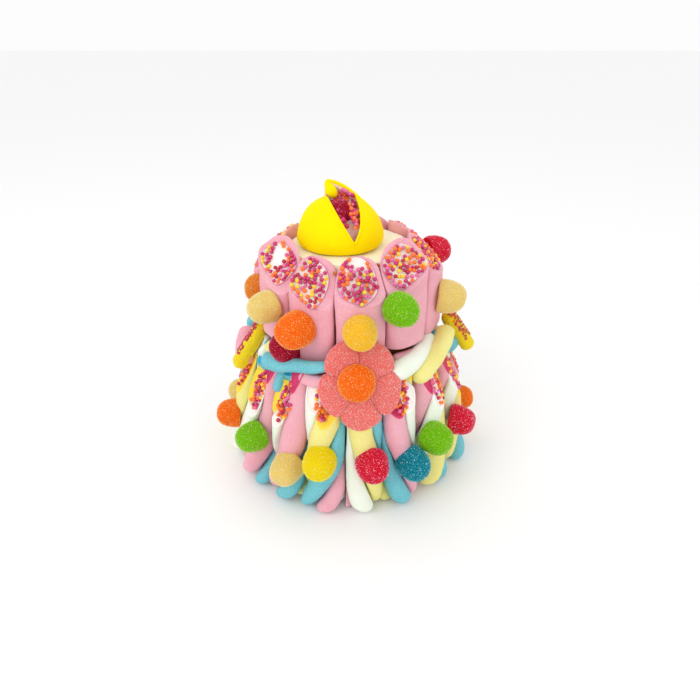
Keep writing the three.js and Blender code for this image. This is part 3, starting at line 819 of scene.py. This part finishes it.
def smooth_line(points, steps):
    """More points along a line of flat points, on a smooth curve through the given ones."""
    made = []
    for i in range(len(points) - 1):
        around = [points[min(max(i + k, 0), len(points) - 1)] for k in (-1, 0, 1, 2)]
        for step in range(steps):
            t = step / steps
            made.append(tuple(
                0.5 * (2 * b + (c - a) * t + (2 * a - 5 * b + 4 * c - d) * t * t
                       + (3 * b - a - 3 * c + d) * t ** 3)
                for a, b, c, d in zip(*around)))
    return made + [points[-1]]


ORDER_REACH, ORDER_STEPS = 200, 500         # millimetres from the middle, and steps in each
ORDER_BASE = 2 * ORDER_REACH * ORDER_STEPS


def in_order(place):
    """A number that sorts places by height, then depth, then width, in the same way on every run."""
    z, y, x = (round((part + ORDER_REACH) * ORDER_STEPS) for part in (place.z, place.y, place.x))
    return (z * ORDER_BASE + y) * ORDER_BASE + x


def spun(line, steps):
    """Turns a line of (radius, height) round the upright axis into a closed skin. Merging leaves
    its points and faces in an order that changes from run to run, so both are sorted."""
    bm = bmesh.new()
    verts = [bm.verts.new((radius, 0, z)) for radius, z in line]
    edges = [bm.edges.new(pair) for pair in zip(verts, verts[1:])]
    bmesh.ops.spin(bm, geom=verts + edges, cent=(0, 0, 0), axis=(0, 0, 1), angle=2 * math.pi,
                   steps=steps, use_merge=True)
    bmesh.ops.remove_doubles(bm, verts=bm.verts, dist=0.002)
    bm.verts.sort(key=lambda vert: in_order(vert.co))
    bm.faces.sort(key=lambda face: in_order(face.calc_center_median()))
    bmesh.ops.recalc_face_normals(bm, faces=bm.faces)
    return bm


def gum_drop(size, flat, seed):
    """A gum drop that stands on +Z, in millimetres."""
    line = [(max(radius, 0) * DROP.radius * size, height * DROP.height * size * flat)
            for radius, height in smooth_line(DROP_SHAPE, 4)]
    drop = spun(line, DROP_COLUMNS)
    for vert in drop.verts:
        vert.co += uneven_push(vert.co, 14, 0.8, seed) + uneven_push(vert.co, 1.6, 0.1, seed)
    return drop


# %% Sugar on a sweet
SPARKLE = {"gum_red": 0.95, "gum_teal": 0.95, "gum_dark_red": 0.8, "jelly_coral": 0.9}


def sugar_over(bm, tone, facing, sparkle=0.85, density=CRYSTALS_PER_MM2, onto=crystals):
    """Plans sugar crystals over the faces of a bmesh that don't look back at the wall."""
    for face in bm.faces:
        if face.normal.dot(facing) < -0.5:
            continue
        wanted = face.calc_area() * density
        for _ in range(int(wanted) + (rng.random() < wanted % 1)):
            corners = [loop.vert.co for loop in face.loops]
            first = corners.index(min(corners, key=in_order))
            corners = corners[first:] + corners[:first]
            a, b = rng.random(), rng.random()
            place = corners[0].lerp(corners[1], a).lerp(corners[-1].lerp(corners[2], a), b)
            pale = 0.05 + sparkle * rng.random() ** 1.1
            colour = [max(channel, 0.002) ** (1 - pale) for channel in srgb(*tone)]
            onto.append((place, rng.uniform(0.22, 0.4), colour))


def make_drop(node, drop, direction, place, tone):
    """Aims a gum drop from its wall, sugars it and makes it a piece."""
    turn = Vector((0, 0, 1)).rotation_difference(direction)
    move = Matrix.Translation(place) @ turn.to_matrix().to_4x4()
    bmesh.ops.transform(drop, matrix=move, verts=drop.verts)
    drop.normal_update()
    sugar_over(drop, GUM[tone], direction, SPARKLE.get(tone, 0.85))
    return make_piece(drop, f"{node}_sugared", [gums[tone]], tone, [node])


# %% Placing the gum drops
for tier, drops in {"upper": UPPER_DROPS, "lower": LOWER_DROPS, "shoulder": SHOULDER_DROPS}.items():
    for number, (name, (angle, height, size, aside, upwards, sunk)) in enumerate(drops.items()):
        node = f"drop_{tier}_{name}"
        tilt = math.radians(upwards)
        direction = outward(angle + aside) * math.cos(tilt) + Vector((0, 0, math.sin(tilt)))
        drop = gum_drop(size, 1, number + 10 * len(tier))
        make_drop(node, drop, direction, at(angle, WALLS[tier] - sunk, height), SLOTS[node])
print(drop_count, "gum drops with", len(crystals), "crystals")

# %% [markdown]
# The flower is a flat jelly with five round petals. In polar form its outline is a wave with
# pointed dips, its edge is a soft half circle, and a crease runs in from each dip.

# %% Flower
FLOWER = Form(radius=28.8, wide=0.93, tall=1.04, waist=0.79, thickness=8, petals=5, angle=5.3,
              ring=78.5, height=99.5, tilt=20)
FLOWER_DROP = Form(size=1.11, flat=0.56, aside=-2.5, upwards=2.2)
FLOWER_COLUMNS = 150
FLOWER_ROWS = 56
flower_tilt = math.radians(FLOWER.tilt)
flower_out = outward(FLOWER.angle) * math.cos(flower_tilt) + Vector((0, 0, math.sin(flower_tilt)))
flower_across = sideways(FLOWER.angle)
flower_up = flower_out.cross(flower_across)
flower_place = at(FLOWER.angle, FLOWER.ring, FLOWER.height)
print("the flower's middle in mm:", [round(part, 1) for part in flower_place])


# %% The skin of the flower and its drop
def flower_skin(column, row):
    """Where a point of the rolled-up grid lies on the flower."""
    spoke = 2 * math.pi * column / FLOWER_COLUMNS
    lean = math.pi * row / FLOWER_ROWS
    wave = abs(math.cos(spoke * FLOWER.petals / 2)) ** 0.45
    outer = FLOWER.radius * mix(FLOWER.waist + 0.02, 1, wave)
    share = math.sin(lean) ** 0.6 if 0 < row < FLOWER_ROWS else 0
    height = (math.copysign(abs(math.cos(lean)) ** 0.45, math.cos(lean)) - 1) * FLOWER.thickness / 2
    if lean < math.pi / 2:
        dip = math.exp(-((wave / 0.36) ** 2)) * min(max((share - 0.4) / 0.3, 0), 1)
        height += 1.0 * math.sin(share * math.pi) * wave - 1.2 * dip
    u, v = outer * share * FLOWER.wide * math.sin(spoke), -outer * share * FLOWER.tall * math.cos(spoke)
    point = flower_place + flower_across * u + flower_up * v + flower_out * height
    return point + uneven_push(point, 12, 0.9, 3) + uneven_push(point, 1.7, 0.16, 3)


flower = roll(FLOWER_COLUMNS, FLOWER_ROWS, flower_skin)
sugar_over(flower, GUM["jelly_coral"], flower_out, SPARKLE["jelly_coral"], 1.3, flower_crystals)
make_piece(flower, "flower_sugared", [gums["jelly_coral"]], SLOTS["flower"], ["flower"])
drop_place = flower_place + flower_out * GAP + flower_across * FLOWER_DROP.aside
drop_place = drop_place + flower_up * FLOWER_DROP.upwards
flower_drop = gum_drop(FLOWER_DROP.size, FLOWER_DROP.flat, 5)
make_drop("flower_drop", flower_drop, flower_out, drop_place, "gum_orange")
print("flower made with", len(flower_crystals), "crystals")

# %% [markdown]
# The ball on top is a marshmallow that was snipped open. Its skin is turned on a profile, and the
# wedge is taken out with a Boolean, which keeps the inside colour of the cutter on the walls of
# the cut. The Boolean leaves edges too short for a bevel, so a thin round lip is laid along them.
# A soft filling shows in the cut, with a red gum on it.

# %% Ball
BALL = Form(x=-6, y=0, middle=172, filling=21)
BALL_LINE = [
    (0, 165.3), (22, 165.3), (27, 166.2), (29.0, 168.8), (29.3, 172), (28.6, 176), (27.2, 180.5),
    (25.0, 185), (21.6, 189.6), (16.8, 194), (10.5, 197.4), (5, 198.8), (0, 199.2),
]
SLIT = Form(look_down=25, top=(-17.5, 184), sag=(-8.5, 163), bottom=(3.5, 145.5),
            bulge=(13, 160), lip=(3, 184), floor=2, reach=80)
look = math.radians(SLIT.look_down)
slit_face = Form(across=Vector((1, 0, 0)), up=Vector((0, math.sin(look), math.cos(look))),
                 normal=Vector((0, -math.cos(look), math.sin(look))))
LIP = Form(radius=0.85, sunk=0.35)
ball_middle = Vector((BALL.x, BALL.y, BALL.middle))


def bent_line(start, control, end, steps):
    """Points along a curve that bends towards a control point."""
    return [tuple(mix(mix(a, b, t / steps), mix(b, c, t / steps), t / steps)
                  for a, b, c in zip(start, control, end))
            for t in range(steps + 1)]


SLIT_LINE = [*bent_line(SLIT.top, SLIT.sag, SLIT.bottom, 8),
             *bent_line(SLIT.bottom, SLIT.bulge, SLIT.lip, 12)[1:]]
print("the slit has", len(SLIT_LINE), "corners")


# %% Tools that cut the ball
def slit_place(u, v, height):
    """A place over the slit, by its shares of the slit's directions."""
    return slit_face.across * u + slit_face.up * v + slit_face.normal * height


def slit_cutter():
    """The wedge that is open in the ball, as a bmesh in millimetres."""
    floor_depth = ball_middle.dot(slit_face.normal) + SLIT.floor
    bm = bmesh.new()
    verts = [bm.verts.new(slit_place(u, v, floor_depth)) for u, v in SLIT_LINE]
    grown = bmesh.ops.extrude_face_region(bm, geom=[bm.faces.new(verts)])
    moved = [item for item in grown["geom"] if isinstance(item, bmesh.types.BMVert)]
    bmesh.ops.translate(bm, vec=slit_face.normal * SLIT.reach, verts=moved)
    bmesh.ops.recalc_face_normals(bm, faces=bm.faces)
    return bm


def helper_object(bm, name, materials):
    """An object that a Boolean needs for a moment."""
    data = bpy.data.meshes.new(name)
    bm.to_mesh(data)
    bm.free()
    for material in materials:
        data.materials.append(material)
    made = bpy.data.objects.new(name, data)
    bpy.context.scene.collection.objects.link(made)
    return made


def carve(bm, cutter, outside, inside):
    """Takes one bmesh out of another. The walls of the cut get the inside material."""
    body = helper_object(bm, "body", [outside, inside])
    tool = helper_object(cutter, "tool", [inside])
    modifier = body.modifiers.new("carve", "BOOLEAN")
    modifier.object = tool
    modifier.operation = "DIFFERENCE"
    modifier.solver = "EXACT"
    modifier.material_mode = "TRANSFER"
    bpy.context.view_layer.update()
    graph = bpy.context.evaluated_depsgraph_get()
    carved = bmesh.new()
    carved.from_mesh(body.evaluated_get(graph).to_mesh())
    for helper in (body, tool):
        bpy.data.objects.remove(helper)
    return carved


# %% Cutting the ball and laying its lip
ABOVE_ALL = 300                 # a height over the slit that clears the ball
whole = spun([(max(radius, 0), z) for radius, z in smooth_line(BALL_LINE, 4)], FINE_COLUMNS)
bmesh.ops.translate(whole, vec=(BALL.x, BALL.y, 0), verts=whole.verts)
for vert in whole.verts:
    vert.co += uneven_push(vert.co, 22, 1.0, 2) * min(1, max(0, (vert.co.z - 168) / 6))
skin_of_ball = BVHTree.FromBMesh(whole)
lip_line = []
for (u1, v1), (u2, v2) in zip(SLIT_LINE, SLIT_LINE[1:]):
    for share in (0, 0.25, 0.5, 0.75):
        above = slit_place(mix(u1, u2, share), mix(v1, v2, share), ABOVE_ALL)
        found = skin_of_ball.ray_cast(above, -slit_face.normal)[0]
        if found:
            lip_line.append(found - slit_face.normal * LIP.sunk)
ball = carve(whole, slit_cutter(), ball_skin, ball_inside)
bmesh.ops.remove_doubles(ball, verts=ball.verts, dist=0.01)
for edge in ball.edges:
    if len({face.material_index for face in edge.link_faces}) > 1:
        edge.smooth = False     # a sharp edge between skin and crumb
last = len(lip_line) - 1
lip_width = [LIP.radius * round_end(min(step, last - step), 2) for step in range(last + 1)]
join(ball, sausage(lip_line, lip_width))
make_piece(ball, "ball_split", [ball_skin, ball_inside], SLOTS["ball"], ["ball"])
print("the lip of the ball runs through", len(lip_line), "places")

# %% The filling and the red gum
filling = bmesh.new()
bmesh.ops.create_icosphere(filling, subdivisions=5, radius=BALL.filling)
for vert in filling.verts:
    vert.co += ball_middle
    vert.co += uneven_push(vert.co, 7, 2.2, 4)
    vert.co.z = max(vert.co.z, 167)
make_piece(filling, "ball_filling", [ball_inside], "ball_yellow")

HEART = Form(x=-5.5, y=-1.5, z=183, size=0.92, look_up=36)
heart_up = math.radians(HEART.look_up)
heart_out = Vector((0, -math.cos(heart_up), math.sin(heart_up)))
heart_place = Vector((HEART.x, HEART.y, HEART.z))
make_drop("ball_heart", gum_drop(HEART.size, 1, 8), heart_out, heart_place, "gum_dark_red")


def on_filling(u, v, above):
    """A place over the filling, seen along the slit, at a height above it."""
    away = slit_place(u, v, 0) - ball_middle
    away -= slit_face.normal * away.dot(slit_face.normal)
    depth = math.sqrt(max(BALL.filling ** 2 - away.length_squared, 0))
    return ball_middle + away + slit_face.normal * (depth + above)


SLIT_PATCHES = [                # (outline across and up, count, how far above the filling, colours)
    ([(1, 181), (5, 176), (8, 166), (7, 157), (4, 156), (1, 166), (-1, 174)], 46, 5.2, STICK_TONES),
    ([(-15, 183), (-12, 181), (-4, 164), (0, 156), (-2, 156), (-9, 168)], 30, 4.2,
     ["crimson", "magenta", "crimson"]),
]
for outline, count, above, choice in SLIT_PATCHES:
    found = 0
    while found < count:
        u = rng.uniform(min(p[0] for p in outline), max(p[0] for p in outline))
        v = rng.uniform(min(p[1] for p in outline), max(p[1] for p in outline))
        if is_inside(u, v, outline):
            add_sprinkle(on_filling(u, v, above + rng.uniform(-2.2, 1.0)), SPRINKLE, rng.choice(choice))
            found += 1
print("sprinkles in the cut:", sum(patch[1] for patch in SLIT_PATCHES))

# %% [markdown]
# The wedge that was snipped open still hangs on at the back and stands up as a flap. It is a
# sheet, so it is a grid bent to shape and given its thickness by Solidify. Its front is crumb,
# its back and rim are yellow skin, and its tip is rolled forwards.

# %% Flap
FLAP = Form(tip=(-15.6, 207.2), left=(-17, 188), right=(9, 190), crest=(-4.5, 206), y=3,
            thickness=2.8, rim=1.35)
FLAP_STEPS, FLAP_ROWS = 20, 14
CURL_STEPS = 16
SPRINKLES_ON_FLAP = 34
RIM_LINE = bent_line(FLAP.tip, FLAP.crest, (FLAP.right[0], FLAP.right[1] + 3.5), FLAP_STEPS)
print("the flap's rim rises to", round(max(z for _, z in RIM_LINE), 1), "mm")


# %% The sheet of the flap
def flap_place(share_across, share_up):
    """A point on the flap, by its shares of the way from left to right and from hinge to rim."""
    foot_x, foot_z = (mix(a, b, share_across) for a, b in zip(FLAP.left, FLAP.right))
    rim_x, rim_z = RIM_LINE[round(share_across * FLAP_STEPS)]
    bend = 2.5 * math.sin(share_up * math.pi) - 1.5 * share_up ** 3
    hollow = 2.5 * math.sin(share_across * math.pi)
    return Vector((mix(foot_x, rim_x, share_up), FLAP.y + bend + hollow, mix(foot_z, rim_z, share_up)))


flap = bmesh.new()
bmesh.ops.create_grid(flap, x_segments=FLAP_STEPS, y_segments=FLAP_ROWS, size=0.5)
for vert in flap.verts:
    vert.co = flap_place(vert.co.x + 0.5, vert.co.y + 0.5)
flap.normal_update()
if sum(face.normal.y for face in flap.faces) < 0:
    bmesh.ops.reverse_faces(flap, faces=flap.faces)
bmesh.ops.solidify(flap, geom=flap.faces[:], thickness=FLAP.thickness)
bmesh.ops.recalc_face_normals(flap, faces=flap.faces)
for face in flap.faces:
    face.material_index = int(face.normal.y < -0.35 and abs(face.normal.z) < 0.85)


# %% The rim and the rolled tip of the flap
rim = [flap_place(step / FLAP_STEPS, 1) for step in range(FLAP_STEPS + 1)]
rim_width = [FLAP.rim * round_end(min(step, FLAP_STEPS - step * 0.97), 2.5)
             for step in range(FLAP_STEPS + 1)]
join(flap, sausage(rim, rim_width))
curl_line = [rim[0] + Vector((5.2 * t + 1.5 * t * t, -2.2 * math.sin(2.2 * t), -10.5 * t ** 1.3))
             for t in (step / CURL_STEPS for step in range(CURL_STEPS + 1))]
curl_width = [mix(1.2, 3.6, min(step / 9, 1)) * round_end(min(step, CURL_STEPS - step), 6)
              for step in range(CURL_STEPS + 1)]
join(flap, sausage(curl_line, curl_width))
make_piece(flap, "ball_flap", [ball_skin, ball_inside], "ball_yellow")
before_crumb = Vector((0, -FLAP.thickness - 0.4, 0))
for _ in range(SPRINKLES_ON_FLAP):
    share = rng.uniform(0.3, 0.92)
    spot = flap_place(share, rng.uniform(0.35, 0.9)) + before_crumb
    add_sprinkle(spot, SPRINKLE, rng.choice(["orange", "magenta", "light_pink"]))
print("flap made with", SPRINKLES_ON_FLAP, "sprinkles")

# %% [markdown]
# Two sour sticks lean out over the shoulder between the tiers. Each is a bar of jelly coated in
# sugar, with sprinkles along its outer edge.

# %% Sour sticks
SOUR_RADIUS = 5.4
SOUR_GRID = (32, 30)            # columns round a sour stick and rows along it
SPRINKLES_ON_SOUR = 80
SMALL_SPRINKLE = 1.0            # radius of those on the sour sticks
SOUR_TONE = (232, 206, 50)      # of the sugar on them
SOUR_STICKS = {                 # name: (angle, inner and outer (radius, height), sprinkle colours)
    "right": (84, (69, 117), (89.5, 88), ["orange", "brown", "brown", "crimson"]),
    "left": (-72, (63, 113), (84.5, 82), ["crimson", "crimson", "magenta"]),
}


def bar(start, end, radius, seed):
    """A straight bar of jelly with round ends."""
    columns, rows = SOUR_GRID
    along = end - start
    run = along.length
    along.normalize()
    first = along.orthogonal().normalized()
    second = along.cross(first)

    def place(column, row):
        spoke = 2 * math.pi * column / columns
        done = run * (0.5 - 0.5 * math.cos(math.pi * row / rows))
        wide = min(round_end(done, radius), round_end(run - done, radius)) * radius
        a, b = squarish(spoke, 2.3)
        point = start + along * done + first * a * wide + second * b * wide
        return point + uneven_push(point, 9, 0.7, seed)
    return roll(columns, rows, place)


for number, (name, (angle, inner, outer, tones)) in enumerate(SOUR_STICKS.items()):
    start, end = at(angle, *inner), at(angle, *outer)
    stick = bar(start, end, SOUR_RADIUS, 30 + number)
    sugar_over(stick, SOUR_TONE, outward(angle), 0.5, 0.7)
    node = f"sour_stick_{name}"
    make_piece(stick, f"{node}_sugared", [sour_skin], SLOTS[node], [node])
    over = (end - start).cross(sideways(angle)).normalized()
    over = over if over.z > 0 else -over
    for step in range(SPRINKLES_ON_SOUR):
        share, aside = mix(0.02, 0.72, step / SPRINKLES_ON_SOUR), rng.uniform(-1.2, 0.5)
        around = over * math.cos(aside) + sideways(angle) * math.sin(aside)
        add_sprinkle(start.lerp(end, share) + around * SOUR_RADIUS, SMALL_SPRINKLE, rng.choice(tones))
print("sour sticks:", ", ".join(SOUR_STICKS))

# %% [markdown]
# On the shoulder between the tiers lie more strands. Each runs along an arc of the cake's round,
# and where two make a rope they wind round the same arc. Small ends of strands fill the gaps.

# %% Shoulder ropes
# each strand: (tone, from, to, radii, heights, thickness at the start and at the end)
SHOULDER_ROPES = {
    "blue": [("blue", -53, -9, (70, 72), (98, 109), 6.8, 3.4)],
    "white": [("white", 20, 63, (74, 62), (101, 109), 7.0, 5.0),
              ("yellow", 34, 71, (77, 71), (94, 112), 5.4, 7.2)],
}
BACK_ROPES = {                  # name: (from, to, height, tones) of the twisted ones at the back
    "yellow": (112, 170, 104.5, ["yellow", "white"]),
    "pink": (188, 250, 104.5, ["pink", "blue"]),
}
BACK_ROPE = Form(radii=(70, 70), thick=5.4, wind=3.0)
SHOULDER_ENDS = [
    ("yellow", -57, -44, (64, 66), (106, 104), 6.0, 5.0),
    ("white", -60, -56, (70, 66), (97, 106), 3.6, 3.4),
    ("pink", -27, -11, (71, 74), (96, 98), 4.5, 4.2), ("blue", -43, -41, (71, 64), (78, 100), 4.0, 4.0),
    ("pink", 27, 44, (64, 64), (104, 106), 4.5, 4.0), ("pink", -91, -70, (73, 78), (99, 85), 8.0, 7.0),
    ("blue", 78, 98, (73, 74), (94, 92), 8.5, 8.0), ("blue", -112, -95, (72, 71), (99, 97), 7.5, 7.0),
]
ARC_ROWS = 30
ARC_COLUMNS = 28
TURNS_ON_ARC = 0.9              # how often two strands wind round each other on their way
print("plans for", len(SHOULDER_ROPES) + len(BACK_ROPES), "ropes on the shoulder")


# %% A strand along an arc
def arc_line(start, end, radii, heights):
    """Places along the cake's round."""
    shares = [step / ARC_ROWS for step in range(ARC_ROWS + 1)]
    return [at(mix(start, end, share), mix(*radii, share), mix(*heights, share)) for share in shares]


def add_arc(target, plan, seed, wind=0.0, phase=0.0):
    """Adds one strand along an arc. wind is how far it winds off the arc, in millimetres."""
    tone, start, end, radii, heights, thick, thick_end = plan
    line = arc_line(start, end, radii, heights)
    run = sum((b - a).length for a, b in zip(line, line[1:]))
    for step, angle in enumerate(mix(start, end, step / ARC_ROWS) for step in range(ARC_ROWS + 1)):
        turn = phase + step / ARC_ROWS * 2 * TURNS_ON_ARC * math.pi
        wound_out = outward(angle) * math.sin(turn) * wind
        line[step] = line[step] + wound_out + Vector((0, 0, math.cos(turn) * wind))
    steps = [step * run / ARC_ROWS for step in range(ARC_ROWS + 1)]
    wide = [mix(thick, thick_end, step / run) * round_end(min(step, run - step), 0.9 * thick)
            for step in steps]
    strand = sausage(line, wide, ARC_COLUMNS)
    for vert in strand.verts:
        vert.co += uneven_push(vert.co, 13, 1.1, seed)
    for face in strand.faces:
        face.material_index = list(skins).index(tone)
    join(target, strand)


# %% Laying the ropes and ends on the shoulder
for number, (name, strands) in enumerate(SHOULDER_ROPES.items()):
    rope = bmesh.new()
    for strand in strands:
        add_arc(rope, strand, 50 + number)
    node = f"shoulder_rope_{name}"
    make_piece(rope, f"{node}_soft", list(skins.values()), SLOTS[node], [node])
for number, (name, (start, end, height, tones)) in enumerate(BACK_ROPES.items()):
    rope = bmesh.new()
    for side, tone in enumerate(tones):
        thick = BACK_ROPE.thick
        strand = (tone, start, end, BACK_ROPE.radii, (height, height), thick, thick)
        add_arc(rope, strand, 60 + number, BACK_ROPE.wind, math.pi * side)
    node = f"shoulder_rope_{name}"
    make_piece(rope, f"{node}_soft", list(skins.values()), SLOTS[node], [node])
ends = bmesh.new()
for number, strand in enumerate(SHOULDER_ENDS):
    add_arc(ends, strand, 70 + number)
make_piece(ends, "shoulder_ends", list(skins.values()), "marshmallow_pink")
print("shoulder ropes:", ", ".join([*SHOULDER_ROPES, *BACK_ROPES]), "and", len(SHOULDER_ENDS), "ends")

# %% [markdown]
# A flat disc of white foam carries the ball. The core behind the sweets hardly shows, so the
# solid model's own mesh is kept for it and only gets a material.

# %% Disc and core
CRUMB = 1.2                     # radius of the brown crumbs beside the disc
CRUMBS_IN_PLACE = 3
CRUMB_PLACES = [(-10, 50, 162.6), (22.9, 45, 165.2)]        # (angle, radius, height)
DISC_LINE = [(0, 157.3), (39, 157.3), (41.4, 158.6), (42, 161.2), (41.2, 163.9), (38.5, 165),
             (20, 165), (0, 165)]
disc = spun([(max(radius, 0), z) for radius, z in smooth_line(DISC_LINE, 5)], FINE_COLUMNS)
for vert in disc.verts:
    vert.co += uneven_push(vert.co, 14, 0.7, 9)
make_piece(disc, "disc_soft", [foam], SLOTS["disc"], ["disc"])

for angle, radius, height in CRUMB_PLACES:
    for _ in range(CRUMBS_IN_PLACE):
        crumb = at(angle + rng.uniform(-1.2, 1.2), radius, height + rng.uniform(-0.6, 0.6))
        add_sprinkle(crumb, CRUMB, "brown")

core = bpy.data.objects["core"]
core.data.materials.clear()
core.data.materials.append(sponge)
print("disc made with", CRUMBS_IN_PLACE * len(CRUMB_PLACES), "crumbs beside it, core painted")

# %% [markdown]
# The small things come last, when every sweet has said where it wants them. One ball and one
# crystal are made with bmesh, and their points are repeated in one array for each kind. The
# colour of each is stored on its points, where the material reads it. The crystals of the drops
# and of the flower are two pieces, so that neither grows too heavy.

# %% Scattered pieces
def tinted_material(name, roughness, coat):
    """A plain material that takes its colour from the points of the piece."""
    material = bpy.data.materials.new(name)
    material.use_nodes = True
    principled = material.node_tree.nodes["Principled BSDF"]
    tint = new_node(material.node_tree, "ShaderNodeAttribute", attribute_name="tint")
    material.node_tree.links.new(tint.outputs["Color"], principled.inputs["Base Color"])
    principled.inputs["Roughness"].default_value = roughness
    principled.inputs["Coat Weight"].default_value = coat
    return material


def turned_points(points, count, seed):
    """The points of a small form, turned at random once for each copy."""
    w, x, y, z = np.random.default_rng(seed).normal(size=(4, count))
    size = np.sqrt(w * w + x * x + y * y + z * z)
    w, x, y, z = w / size, x / size, y / size, z / size
    turns = np.array([
        [1 - 2 * (y * y + z * z), 2 * (x * y - w * z), 2 * (x * z + w * y)],
        [2 * (x * y + w * z), 1 - 2 * (x * x + z * z), 2 * (y * z - w * x)],
        [2 * (x * z - w * y), 2 * (y * z + w * x), 1 - 2 * (x * x + y * y)],
    ])
    return np.einsum("ijn,pj->npi", turns, points)


def scatter(name, form, items, material, smooth):
    """Joins many copies of a small form into one piece. items are (place, size, colour)."""
    points = np.array([vert.co for vert in form.verts])
    faces = np.array([[vert.index for vert in face.verts] for face in form.faces])
    form.free()
    places, sizes, colours = (np.array(column) for column in zip(*items))
    cloud = turned_points(points, len(items), 7) * sizes[:, None, None] + places[:, None, :]
    corners = faces[None] + (np.arange(len(items)) * len(points))[:, None, None]
    data = bpy.data.meshes.new(name)
    data.from_pydata((cloud * MM).reshape(-1, 3), [], corners.reshape(-1, faces.shape[1]))
    tint = data.color_attributes.new("tint", "FLOAT_COLOR", "POINT")
    tint.data.foreach_set("color", np.repeat(colours, len(points), axis=0).ravel())
    data.polygons.foreach_set("use_smooth", [smooth] * len(data.polygons))
    data.materials.append(material)
    piece = bpy.data.objects.new(name, data)
    bpy.context.scene.collection.objects.link(piece)
    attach(piece, "root")
    print(name, len(items), "of", len(faces), "faces each, in all", len(items) * len(faces))


# %% The sprinkles and the sugar crystals
sprinkle_skin = tinted_material("sprinkle", 0.32, 0.4)
ball_form = bmesh.new()
bmesh.ops.create_icosphere(ball_form, subdivisions=2, radius=1)
scatter("sprinkles", ball_form, sprinkles, sprinkle_skin, True)
crystal_skin = tinted_material("crystal", 0.22, 0.0)
for name, items, slot in (("sugar_crystals", crystals, "gum_gold"),
                          ("flower_crystals", flower_crystals, "jelly_coral")):
    crystal_form = bmesh.new()
    bmesh.ops.create_uvsphere(crystal_form, u_segments=4, v_segments=2, radius=1)
    scatter(name, crystal_form, items, crystal_skin, False)
